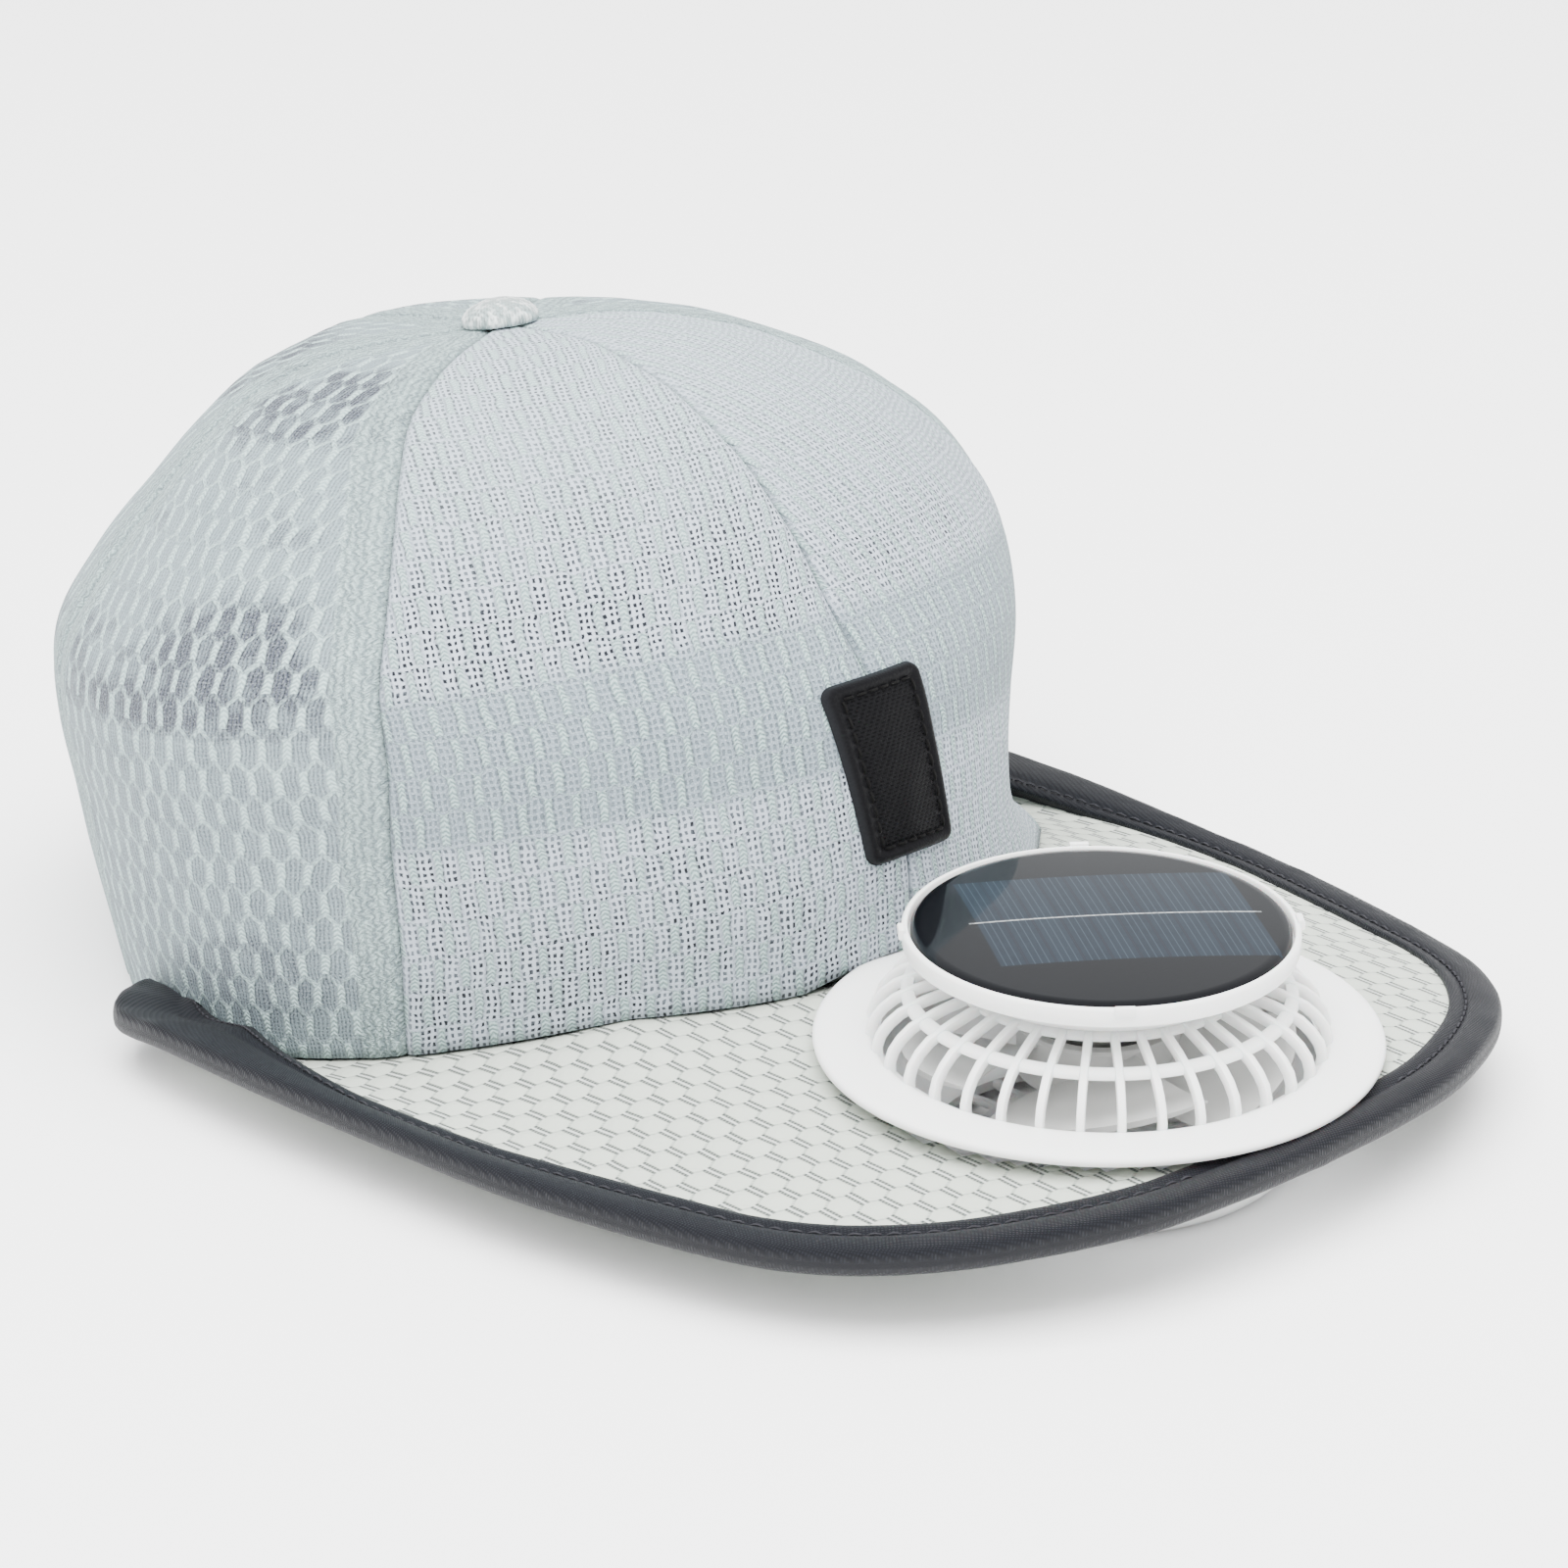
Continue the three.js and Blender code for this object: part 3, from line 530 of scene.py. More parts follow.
    # painted light: the cloth lighter and brighter towards the top of the crown, where the top light falls
    tint = n.mix(n.math("MULTIPLY", n.ramp(v, 0.55, 0.85), 0.1), tint, (0.62, 0.66, 0.67))
    tint = n.mix(n.ramp(v, 0.5, 0.8), tint, (1.09, 1.09, 1.09), "MULTIPLY")
    tint = n.mix(1.0, tint, (0.925, 0.985, 1.0), "MULTIPLY")
    height = n.math("MULTIPLY", strand, n.math("MULTIPLY_ADD", stitch, 0.4, 0.6))
    height = n.math("MULTIPLY_ADD", hole, -0.5, height)
    height = n.math("MULTIPLY_ADD", fine, 0.3, height)
    n.set(Base_Color=tint, Roughness=0.8, Normal=n.bump(height, 0.8, 0.0006))
    n.set(Sheen_Weight=0.05)
    return n.mat


def side_cloth(name):
    """Open knit: thick pale threads round staggered cells filled with fine upright threads; painted shade
    where the inside of the crown shows through.
    """
    n = Nodes(name)
    vec, x0, y0 = n.uv()
    _, edge, v = n.uv("Edge")
    x = n.math("MULTIPLY_ADD", n.noise(vec, 0.16, 2.0), 2.2, x0)
    y = n.math("MULTIPLY_ADD", n.noise(vec, 0.14, 2.0), 2.4, y0)
    x = n.math("MULTIPLY_ADD", n.noise(vec, 0.7, 2.0), 0.5, x)
    off, slant = hexes(n, x, y, 4.8, 6.0, 0.6, -0.6)
    off = n.math("ABSOLUTE", off)
    rim = n.ramp(edge, 8.2, 7.4)
    spotty = n.noise(vec, 0.2, 2.0, 0.6)
    worn = n.math("MULTIPLY_ADD", n.ramp(spotty, 0.4, 0.6), 0.5, 0.25)
    worn = n.math("MULTIPLY", n.ramp(slant, 0.0, 0.2), worn)
    strand = n.math("MULTIPLY", n.ramp(off, 1.0, 0.55), n.math("SUBTRACT", 1.0, worn))
    stitch = n.wave(n.math("DIVIDE", n.math("MULTIPLY_ADD", off, 0.8, y), 0.9))
    fill_x = n.ramp(n.wave(n.math("DIVIDE", x, 0.8)), 0.35, 0.75)
    fill_y = n.math("MULTIPLY_ADD", n.wave(n.math("DIVIDE", y, 0.8)), 0.45, 0.55)
    inside = n.math("MULTIPLY", n.math("SUBTRACT", 1.0, strand), n.math("SUBTRACT", 1.0, rim))
    slot = n.math("MULTIPLY", n.math("MULTIPLY", fill_x, fill_y), inside)
    cloud = n.noise(vec, 0.055, 3.0, 0.65)
    # painted shade: the shaded inside of the crown seen through the open cells, in bands and patches, and
    # weaker but even below the middle
    see_through_shade = n.math("MULTIPLY", band(n, v, 0.445, 0.60, 0.03), n.math("MULTIPLY", n.ramp(cloud, 0.36, 0.6), 0.7))
    see_through_shade = n.math("MAXIMUM", see_through_shade, spot(n, x, v, (14, 0.535), (23, 0.095)))
    see_through_shade = n.math("MAXIMUM", see_through_shade, n.math("MULTIPLY", spot(n, x, v, (-4, 0.49), (22, 0.045)), 0.9))
    see_through_shade = n.math("MULTIPLY", see_through_shade, n.math("MULTIPLY_ADD", spot(n, x, v, (35, 0.585), (9, 0.055)), -0.9, 1.0))
    see_through_shade = n.math("MAXIMUM", see_through_shade, n.math("MULTIPLY", band(n, v, 0.79, 0.87, 0.015), n.ramp(cloud, 0.40, 0.55)))
    see_through_shade = n.math("MAXIMUM", see_through_shade, n.math("MULTIPLY", n.ramp(cloud, 0.52, 0.68), 0.45))
    under = n.ramp(v, 0.45, 0.435)
    see_through_shade = n.math("MAXIMUM", n.math("MULTIPLY", see_through_shade, n.math("SUBTRACT", 1.0, n.math("MULTIPLY", under, 0.8))),
                 n.math("MULTIPLY", under, 0.24))
    see_through_shade = n.math("MAXIMUM", see_through_shade, n.math("MULTIPLY", spot(n, x, v, (14, 0.11), (24, 0.08)), 0.5))
    see_through_shade = n.math("MULTIPLY", see_through_shade, n.math("MULTIPLY_ADD", n.ramp(spotty, 0.36, 0.62), 0.7, 0.55), clamp=True)
    fine = n.noise(vec, 2.6, 2.0)
    fill = n.mix(cloud, (0.15, 0.19, 0.208), (0.29, 0.34, 0.355))
    # painted shade in the fill where the inside shows through
    fill = n.mix(n.math("MULTIPLY", see_through_shade, 0.92), fill, (0.045, 0.045, 0.068))
    chain = n.mix(stitch, (0.26, 0.33, 0.325), (0.47, 0.565, 0.55))
    tint = n.mix(n.math("MULTIPLY", strand, 0.92), fill, chain)
    # painted shade in the slots between the fine threads, deepest where the inside shows through
    tint = n.mix(n.math("MULTIPLY", slot, n.math("MULTIPLY_ADD", see_through_shade, 0.6, 0.4)), tint, (0.012, 0.014, 0.02))
    weft = n.math("MULTIPLY_ADD", n.tri(n.math("DIVIDE", y, 1.9)), 0.22, edge)
    cord = n.wave(n.math("DIVIDE", n.math("MULTIPLY_ADD", n.noise(vec, 0.45, 3.0, 0.6), 3.4, weft), 1.5))
    strip = n.mix(n.math("MULTIPLY", n.ramp(cord, 0.0, 0.6), n.math("MULTIPLY_ADD", stitch, 0.45, 0.55)),
                  (0.10, 0.13, 0.132), (0.39, 0.47, 0.455))
    pick = n.ramp(n.noise(vec, 0.9, 3.0, 0.65), 0.50, 0.68)
    strip = n.mix(n.math("MULTIPLY", pick, 0.5), strip, (0.06, 0.082, 0.085))
    tint = n.mix(n.math("MULTIPLY", rim, 0.72), tint, strip)
    tint = n.mix(n.math("MULTIPLY", n.ramp(fine, 0.42, 0.75), 0.35), tint, (0.493, 0.526, 0.532))
    # painted shade in the seam groove: darker within 0.8 mm of the seam
    tint = n.mix(n.math("MULTIPLY", n.ramp(edge, 0.8, 0.1), 0.55), tint, (0.056, 0.07, 0.073))
    tint = n.mix(1.0, tint, (0.89, 0.97, 0.985), "MULTIPLY")
    height = n.math("MULTIPLY", strand, n.math("MULTIPLY_ADD", stitch, 0.35, 0.65))
    height = n.math("MULTIPLY_ADD", slot, -0.5, height)
    height = n.mix(rim, height, n.math("MULTIPLY", cord, n.math("MULTIPLY_ADD", stitch, 0.4, 0.6)))
    height = n.math("MULTIPLY_ADD", fine, 0.3, height)
    n.set(Base_Color=tint, Roughness=0.78, Normal=n.bump(height, 0.8, 0.0007))
    n.set(Sheen_Weight=0.05)
    return n.mat


def brim_cloth():
    """Cream knit laid on the bias: six-sided cells, a heavy double dash on one slant of each."""
    n = Nodes("brim_mesh_cloth")
    vec, x0, y0 = n.uv()
    x0 = n.math("MULTIPLY_ADD", n.noise(vec, 0.06, 2.0), 1.2, x0)
    y0 = n.math("MULTIPLY_ADD", n.noise(vec, 0.05, 2.0), 1.2, y0)
    bias_cos, bias_sin = 0.49, 0.872
    x = n.math("ADD", n.math("MULTIPLY", x0, bias_cos), n.math("MULTIPLY", y0, -bias_sin))
    y = n.math("ADD", n.math("MULTIPLY", x0, -bias_sin), n.math("MULTIPLY", y0, -bias_cos))
    wide, tall, wall = 6.0, 5.3, 0.62
    off, _ = hexes(n, x, y, wide, tall, wall)
    gap = n.math("ABSOLUTE", off)
    dots = n.wave(n.math("DIVIDE", y, 0.75))
    thin = n.math("MULTIPLY", n.ramp(gap, 0.4, 0.12), n.math("MULTIPLY_ADD", dots, 0.6, 0.4))
    # the double dash, centred on one slant of every cell
    q = n.math("SUBTRACT", n.math("DIVIDE", y, tall), wall + (1 - wall) / 2)
    row = n.math("FLOOR", n.math("ADD", q, 0.5))
    fy = n.math("MULTIPLY", n.math("SUBTRACT", q, row), tall)
    fx = n.math("MULTIPLY_ADD", row, -0.5, n.math("DIVIDE", x, wide))
    fx = n.math("MULTIPLY", n.math("SUBTRACT", n.math("FRACT", n.math("ADD", fx, 0.25)), 0.5), wide)
    run = n.math("ADD", n.math("MULTIPLY", fx, bias_sin), n.math("MULTIPLY", fy, bias_cos))
    side = n.math("SUBTRACT", n.math("MULTIPLY", fy, bias_sin), n.math("MULTIPLY", fx, bias_cos))
    side = n.math("ABSOLUTE", side)
    on = n.ramp(n.math("ABSOLUTE", run), 2.5, 2.1)
    dots_across = n.wave(n.math("DIVIDE", run, 0.72))
    pair = n.ramp(n.math("ABSOLUTE", n.math("SUBTRACT", side, 0.55)), 0.44, 0.18)
    heavy = n.math("MULTIPLY", on, n.math("MULTIPLY", pair, n.math("MULTIPLY_ADD", dots_across, 0.35, 0.65)))
    core = n.math("MULTIPLY", on, n.ramp(side, 0.3, 0.16))
    fine = n.noise(vec, 2.4, 3.0)
    dome = n.ramp(gap, 0.2, 2.2)
    cloud = n.noise(vec, 0.05, 3.0)
    tint = n.mix(n.math("MULTIPLY", fine, 0.4), (0.396, 0.426, 0.373), (0.488, 0.515, 0.455))
    tint = n.mix(n.math("MULTIPLY", cloud, 0.3), tint, (0.515, 0.56, 0.50))
    tint = n.mix(n.math("MULTIPLY", thin, 0.52), tint, (0.13, 0.155, 0.15))
    tint = n.mix(n.math("MULTIPLY", heavy, 0.95), tint, (0.02, 0.028, 0.028))
    tint = n.mix(n.math("MULTIPLY", core, 0.6), tint, (0.568, 0.581, 0.568))
    height = n.math("MULTIPLY_ADD", thin, -0.4, dome)
    height = n.math("MULTIPLY_ADD", heavy, -0.7, height)
    height = n.math("MULTIPLY_ADD", fine, 0.15, height)
    n.set(Base_Color=tint, Roughness=0.72, Normal=n.bump(height, 0.55, 0.0006))
    n.set(Sheen_Weight=0.08)
    return n.mat


def tape():
    n = Nodes("navy_tape")
    vec, x, y = n.uv()
    twill = n.wave(n.math("DIVIDE", n.math("ADD", x, n.math("MULTIPLY", y, 0.55)), 0.62))
    rib = n.wave(n.math("DIVIDE", n.math("SUBTRACT", y, n.math("MULTIPLY", x, 0.2)), 0.5))
    weave = n.math("MULTIPLY", twill, rib)
    fine = n.noise(vec, 0.6, 4.0)
    tint = n.mix(weave, (0.0014, 0.0016, 0.0029), (0.0085, 0.0096, 0.013))
    tint = n.mix(n.math("MULTIPLY", fine, 0.4), tint, (0.0085, 0.0093, 0.0125))
    n.set(Base_Color=tint, Roughness=0.55, Normal=n.bump(weave, 0.45, 0.00025))
    n.set(Specular_IOR_Level=0.22)
    n.set(Sheen_Weight=0.03)
    return n.mat


def plastic(name, color, rough=0.36, grain=0.08, subsurface=0.0):
    n = Nodes(name)
    co = n.coords()
    fine = n.noise(co, 900.0, 3.0)
    wide = n.noise(co, 35.0, 3.0)
    tint = n.mix(n.math("MULTIPLY", wide, 0.35), color, tuple(c * 0.94 for c in color))
    n.set(Base_Color=tint, Normal=n.bump(fine, grain, 0.0001))
    n.set(Roughness=n.math("MULTIPLY_ADD", wide, 0.1, rough - 0.05))
    n.set(Subsurface_Weight=subsurface)
    n.set(Subsurface_Scale=0.002)
    return n.mat


def leather():
    n = Nodes("black_patch_grain")
    vec, x, y = n.uv()
    _, edge, _ = n.uv("Edge")
    q = n.math("DIVIDE", y, 0.62)
    row = n.math("FLOOR", q)
    along = n.math("MULTIPLY_ADD", row, 0.5, n.math("DIVIDE", n.math("MULTIPLY_ADD", y, 0.35, x), 1.25))
    dash = n.math("MULTIPLY", n.ramp(n.wave(along), 0.30, 0.62), n.ramp(n.wave(q), 0.25, 0.70))
    field = n.ramp(edge, 2.9, 3.2)
    pits = n.math("MULTIPLY", dash, field)
    fine = n.noise(vec, 2.2, 4.0)
    tint = n.mix(fine, (0.002, 0.002, 0.0024), (0.006, 0.006, 0.007))
    tint = n.mix(n.math("MULTIPLY", pits, 0.8), tint, (0.0008, 0.0008, 0.001))
    tint = n.mix(n.math("MULTIPLY", n.ramp(edge, 1.0, 0.2), 0.6), tint, (0.012, 0.013, 0.015))
    height = n.math("MULTIPLY_ADD", pits, -1.0, n.math("MULTIPLY", fine, 0.25))
    n.set(Base_Color=tint, Normal=n.bump(height, 1.0, 0.0005))
    n.set(Roughness=n.math("MULTIPLY_ADD", fine, 0.2, 0.40))
    n.set(Specular_IOR_Level=0.08)
    return n.mat


def solar():
    n = Nodes("solar_cell_resin")
    vec, x, y = n.uv()
    turn = math.radians(-36)
    u = n.math("ADD", n.math("MULTIPLY", n.math("SUBTRACT", x, 3.2), math.cos(turn)),
               n.math("MULTIPLY", n.math("ADD", y, 0.4), math.sin(turn)))
    v = n.math("SUBTRACT", n.math("MULTIPLY", n.math("ADD", y, 0.4), math.cos(turn)),
               n.math("MULTIPLY", n.math("SUBTRACT", x, 3.2), math.sin(turn)))
    u = n.math("MULTIPLY_ADD", v, 0.09, u)
    across, along = n.math("ABSOLUTE", v), n.math("ABSOLUTE", u)
    inside = n.math("MULTIPLY", n.ramp(along, 24.9, 24.6), n.ramp(across, 18.2, 17.9))
    strip = n.math("ABSOLUTE", n.math("SUBTRACT", n.math("FRACT", n.math("DIVIDE", u, 5.0)), 0.5))
    gap = n.ramp(strip, 0.44, 0.455)
    fingers = n.math("ABSOLUTE", n.math("SUBTRACT", n.math("FRACT", n.math("DIVIDE", u, 1.25)), 0.5))
    finger = n.ramp(fingers, 0.40, 0.45)
    cloud = n.noise(vec, 0.35, 4.0)
    cell = n.mix(cloud, (0.0035, 0.006, 0.010), (0.008, 0.013, 0.019))
    tone = n.math("FRACT", n.math("MULTIPLY", n.math("FLOOR", n.math("DIVIDE", u, 5.0)), 0.37))
    cell = n.mix(n.math("MULTIPLY", tone, 0.4), cell, (0.010, 0.016, 0.023))
    cell = n.mix(n.math("MULTIPLY", finger, 0.45), cell, (0.034, 0.046, 0.058))
    cell = n.mix(n.math("MULTIPLY", gap, 0.85), cell, (0.005, 0.006, 0.010))
    solder = n.math("MULTIPLY_ADD", n.ramp(n.noise(vec, 1.4, 2.0), 0.4, 0.55), 0.6, 0.4)
    bus = n.math("MULTIPLY", n.ramp(across, 0.27, 0.15), solder)
    cell = n.mix(bus, cell, (0.27, 0.27, 0.26))
    long_bus = n.math("MULTIPLY", bus, n.ramp(along, 26.2, 25.9))
    tint = n.mix(inside, (0.002, 0.0022, 0.003), cell)
    tint = n.mix(long_bus, tint, (0.27, 0.27, 0.26))
    n.set(Base_Color=tint, Roughness=0.4)
    n.set(Specular_IOR_Level=0.05)
    n.set(Coat_Weight=0.55)
    n.set(Coat_Roughness=0.03)
    n.set(Coat_IOR=1.36)
    n.set(Coat_Tint=(0.86, 0.93, 1.0, 1.0))
    return n.mat


def metal(name, color, rough):
    n = Nodes(name)
    co = n.coords()
    fine = n.noise(co, 400.0, 4.0)
    n.set(Base_Color=n.mix(fine, tuple(c * 0.8 for c in color), color), Roughness=rough,
          Normal=n.bump(fine, 0.15, 0.0001))
    n.set(Metallic=0.9)
    return n.mat


def thread_mat(name, color):
    n = Nodes(name)
    co = n.coords()
    twist = n.noise(co, 2500.0, 2.0)
    n.set(Base_Color=n.mix(twist, tuple(c * 0.6 for c in color), color), Roughness=0.7,
          Normal=n.bump(twist, 0.5, 0.0002))
    n.set(Specular_IOR_Level=0.1)
    return n.mat


# the number is the share of painted shade seen through the holes
MAT_FRONT_RIGHT = front_cloth("crown_front_right_cloth", 1.0)
MAT_FRONT_LEFT = front_cloth("crown_front_left_cloth", 0.6)
MAT_SIDE = side_cloth("crown_side_cloth")
MAT_BRIM = brim_cloth()
MAT_TAPE = tape()
MAT_WHITE = plastic("white_moulding", (0.80, 0.81, 0.80), 0.34, 0.06, 0.12)
MAT_GUARD = plastic("guard_moulding", (0.72, 0.73, 0.73), 0.42, 0.06, 0.1)
MAT_ROTOR = plastic("rotor_smoke", (0.50, 0.50, 0.49), 0.3, 0.04, 0.0)
MAT_PATCH = leather()
MAT_SOLAR = solar()
MAT_MOTOR = metal("motor_steel", (0.42, 0.42, 0.41), 0.35)
MAT_STITCH = thread_mat("dark_thread", (0.035, 0.035, 0.04))
MAT_PATCH_STITCH = thread_mat("black_thread", (0.006, 0.006, 0.006))

# Crown panels

PANELS = [
    ("front_right", -60, 0), ("front_left", 0, 60), ("side_left", 60, 120),
    ("back_left", 120, 180), ("back_right", 180, 240), ("side_right", 240, 300),
]


def cloth_wave(p, v):
    """Soft unevenness of the cloth, in mm."""
    low = noise.noise(Vector((p.x / 38, p.y / 38, p.z / 30))) * 0.9
    mid = noise.noise(Vector((p.x / 13 + 7, p.y / 13, p.z / 16))) * 0.32
    return (low + mid) * min(1, 0.25 + 4 * v) * min(1, 5 * (1 - v))


def panel(key, start, end):
    rows, cols = 64, 44
    verts_out, verts_in, uvs, uvs2 = [], [], [], []
    height = 0.0
    previous = None
    for i in range(rows):
        v = i / (rows - 1)
        a0, a1 = seam_angle(v, start), seam_angle(v, end)
        mid = (a0 + a1) / 2
        centre = crown_cloth(v, mid)
        if previous is not None:
            height += (centre - previous).length
        previous = centre
        per_degree = (crown_cloth(v, mid + 0.5) - crown_cloth(v, mid - 0.5)).length
        trim = 0.02 / per_degree
        fade = min(1, (1 - v) * 3)
        for j in range(cols):
            w = j / (cols - 1)
            # finer columns near the seams
            w = 0.5 - 0.5 * math.cos(math.pi * w) * (0.55 + 0.45 * abs(math.cos(math.pi * w)))
            w = min(max(w, 0), 1)
            angle = a0 + trim + (a1 - a0 - 2 * trim) * w
            across = abs(2 * w - 1)
            width = per_degree * (a1 - a0)
            to_seam = width * min(w, 1 - w)
            shift = (0.8 * (1 - across ** 2) - 0.7 * across ** 8) * fade * min(1, 0.25 + v * 3)
            shift -= 0.35 * math.exp(-(to_seam / 0.8) ** 2)
            # doubled cloth beside the seam
            shift += 0.45 * (1 - 1 / (1 + math.exp(-(to_seam - 7.6) * 2.2))) * min(1, to_seam / 1.2) * fade
            p = crown_cloth(v, angle)
            shift += cloth_wave(p, v)
            normal = crown_normal(v, angle)
            p = p + normal * shift
            verts_out.append(p)
            verts_in.append(p - normal * CLOTH_THICKNESS)
            uvs.append(((angle - mid) * per_degree, height))
            uvs2.append((to_seam, v))
    cloth = {"front_right": MAT_FRONT_RIGHT, "front_left": MAT_FRONT_LEFT}.get(key, MAT_SIDE)
    make("panel_" + key + "_cloth", verts_out + verts_in, sheet_faces(rows, cols), cloth,
         replaces=["panel_" + key], uvs=uvs * 2, uvs2=uvs2 * 2)


for entry in PANELS:
    panel(*entry)


# Button
def button():
    profile = [(0.0, 0.9), (3.6, 0.9), (6.6, 0.2), (7.3, 0.5), (7.5, 1.2)]
    for a in (14, 26, 38, 50, 62, 74):
        lean = math.radians(a)
        profile.append((7.5 * math.cos(lean) ** 0.8, 0.9 + 4.1 * math.sin(lean)))
    profile.append((0.0, 5.0))
    v, f = lathe(profile, 64, (0, 0, 0))
    out = []
    uv = []
    foot = CROWN_HEIGHT + APEX_RISE - 0.35
    for x, y, z in v:
        a = math.atan2(y, x)
        r = math.hypot(x, y)
        pleat = 0.22 * math.sin(a * 9) * max(0, 1 - abs(z - 1.4) / 2.6) + 0.1 * math.sin(a * 5 + 1)
        k = 1 + pleat / max(r, 3)
        p = Vector((x * k, y * k + APEX_Y, z + foot + 0.1 * math.sin(a * 2)))
        p = Matrix.Rotation(-CROWN_LEAN, 3, "X") @ p
        out.append((p.x, p.y + CROWN_CENTRE[0], p.z + CROWN_CENTRE[1]))
        uv.append((x, y))
    n = Nodes("button_cloth_glazed")
    vec, ux, uy = n.uv()
    weave = n.math("MULTIPLY", n.wave(n.math("DIVIDE", ux, 0.8)), n.wave(n.math("DIVIDE", uy, 0.95)))
    wide = n.noise(vec, 0.5, 3.0)
    tint = n.mix(weave, (0.26, 0.33, 0.33), (0.42, 0.49, 0.48))
    # painted highlights: pale blotches standing in for glints on the glazed button
    tint_with_painted_highlights = n.mix(n.ramp(wide, 0.45, 0.62), tint, (0.66, 0.71, 0.70))
    n.set(Base_Color=tint_with_painted_highlights, Roughness=0.3, Normal=n.bump(weave, 0.8, 0.0006))
    n.set(Coat_Weight=0.8)
    n.set(Coat_Roughness=0.15)
    make("top_button_covered", out, f, n.mat, replaces=["top_button"], uvs=uv)


button()


# Patch
def patch():
    rows, cols = 70, 40
    length, width, corner = PATCH_LENGTH, PATCH_WIDTH, PATCH_CORNER
    outer, inner, uvs, uvs2 = [], [], [], []
    degree = (crown_cloth(0.14, 6) - crown_cloth(0.14, 0)).length / 6
    for i in range(rows):
        t = i / (rows - 1)
        t = 0.5 - 0.5 * math.cos(math.pi * t)
        end = min(t, 1 - t) * length
        cut = max(0, 1 - end / corner)
        half = width / 2 - corner * (1 - math.sqrt(max(0, 1 - cut * cut)))
        v = CLOTH_SPLIT * (PATCH_LOW + length * t) / CROWN_HEIGHT
        normal = crown_normal(v, 0)
        for j in range(cols):
            w = -math.cos(math.pi * j / (cols - 1))
            x = PATCH_SHIFT + PATCH_LEAN * (t - 0.5) + half * w
            edge = min(half * (1 - abs(w)), end)
            if cut > 0:
                past = max(0, abs(half * w) - (width / 2 - corner))
                edge = min(edge, corner - math.hypot(corner - end, past))
            edge = max(edge, 0)
            rim = 1 - math.exp(-(edge / 0.35) ** 2)
            rise = 1.05 * rim + 0.55 * math.exp(-((edge - 1.3) / 0.75) ** 2)
            rise -= 0.3 * math.exp(-((edge - PATCH_STITCH_INSET) / 0.3) ** 2)
            sag = 0.25 * noise.noise(Vector((x / 6, t * 5, 3)))
            p = crown_cloth(v, x / degree) + normal * PATCH_LIFT
            outer.append(p + normal * (rise * 0.9 + (sag if edge > 3 else 0)))
            inner.append(p)
            uvs.append((x, length * t))
            uvs2.append((edge, t))
    make("front_patch_leather", outer + inner, sheet_faces(rows, cols), MAT_PATCH, replaces=["front_patch"],
         uvs=uvs * 2, uvs2=uvs2 * 2)
    # stitches round the field
    parts = []
    a, b = width / 2 - PATCH_STITCH_INSET, length / 2 - PATCH_STITCH_INSET
    run = []
    corners = [(-a, -b), (a, -b), (a, b), (-a, b), (-a, -b)]
    for (x0, y0), (x1, y1) in zip(corners, corners[1:]):
        steps = max(1, round(math.hypot(x1 - x0, y1 - y0) / 2.6))
        for k in range(steps):
            run.append((x0 + (x1 - x0) * (k + 0.14) / steps, y0 + (y1 - y0) * (k + 0.14) / steps,
                        x0 + (x1 - x0) * (k + 0.86) / steps, y0 + (y1 - y0) * (k + 0.86) / steps))
    for x0, y0, x1, y1 in run:
        path = []
        for s in (0, 0.33, 0.67, 1):
            x, y = x0 + (x1 - x0) * s, y0 + (y1 - y0) * s
            t = y / length + 0.5
            v = CLOTH_SPLIT * (PATCH_LOW + length * t) / CROWN_HEIGHT
            lift = 1.05 + 0.28 * math.sin(math.pi * s)
            base = crown_cloth(v, (x + PATCH_SHIFT + PATCH_LEAN * (t - 0.5)) / degree)
            path.append(base + crown_normal(v, 0) * (PATCH_LIFT + lift))
        ups = [crown_normal(0.16, 0)] * 4
        parts.append(sweep(path, rounded(0.5, 0.34, 0.15, 2), ups=ups))
    v, f = join_parts(*parts)
    make("front_patch_stitches", v, f, MAT_PATCH_STITCH)


patch()


# Brim
def station(s):
    """s from -1, the right rear corner, to 1, the left one."""
    last = len(BRIM_TABLE) - 1
    keys = list(range(last + 1))
    at = min(abs(s), 1) * last
    side = 1 if s > 0 else -1 if s < 0 else 0
    x = side * BRIM_HALF_WIDTH * column(keys, BRIM_COLUMNS[0], at)
    y = -BRIM_REACH * column(keys, BRIM_COLUMNS[1], at)
    z = BRIM_TOP - BRIM_CURL * x * x - column(keys, BRIM_COLUMNS[3 if side > 0 else 2], at)
    hem = crown_cloth(0, side * column(keys, BRIM_COLUMNS[4], at))
    out = Vector((hem.x, hem.y - CROWN_CENTRE[0], 0)).normalized()
    start = hem - out * BRIM_TUCK
    start.z = min(hem.z - HEM_GAP, BRIM_INNER_LIMIT - BRIM_CURL * hem.x * hem.x * 0.6)
    heel = hem + out * BRIM_HEEL
    heel.z = start.z
    return start, heel, Vector((x, y, z))


BRIM_N = 220
STATIONS = [station(2 * k / BRIM_N - 1) for k in range(BRIM_N + 1)]


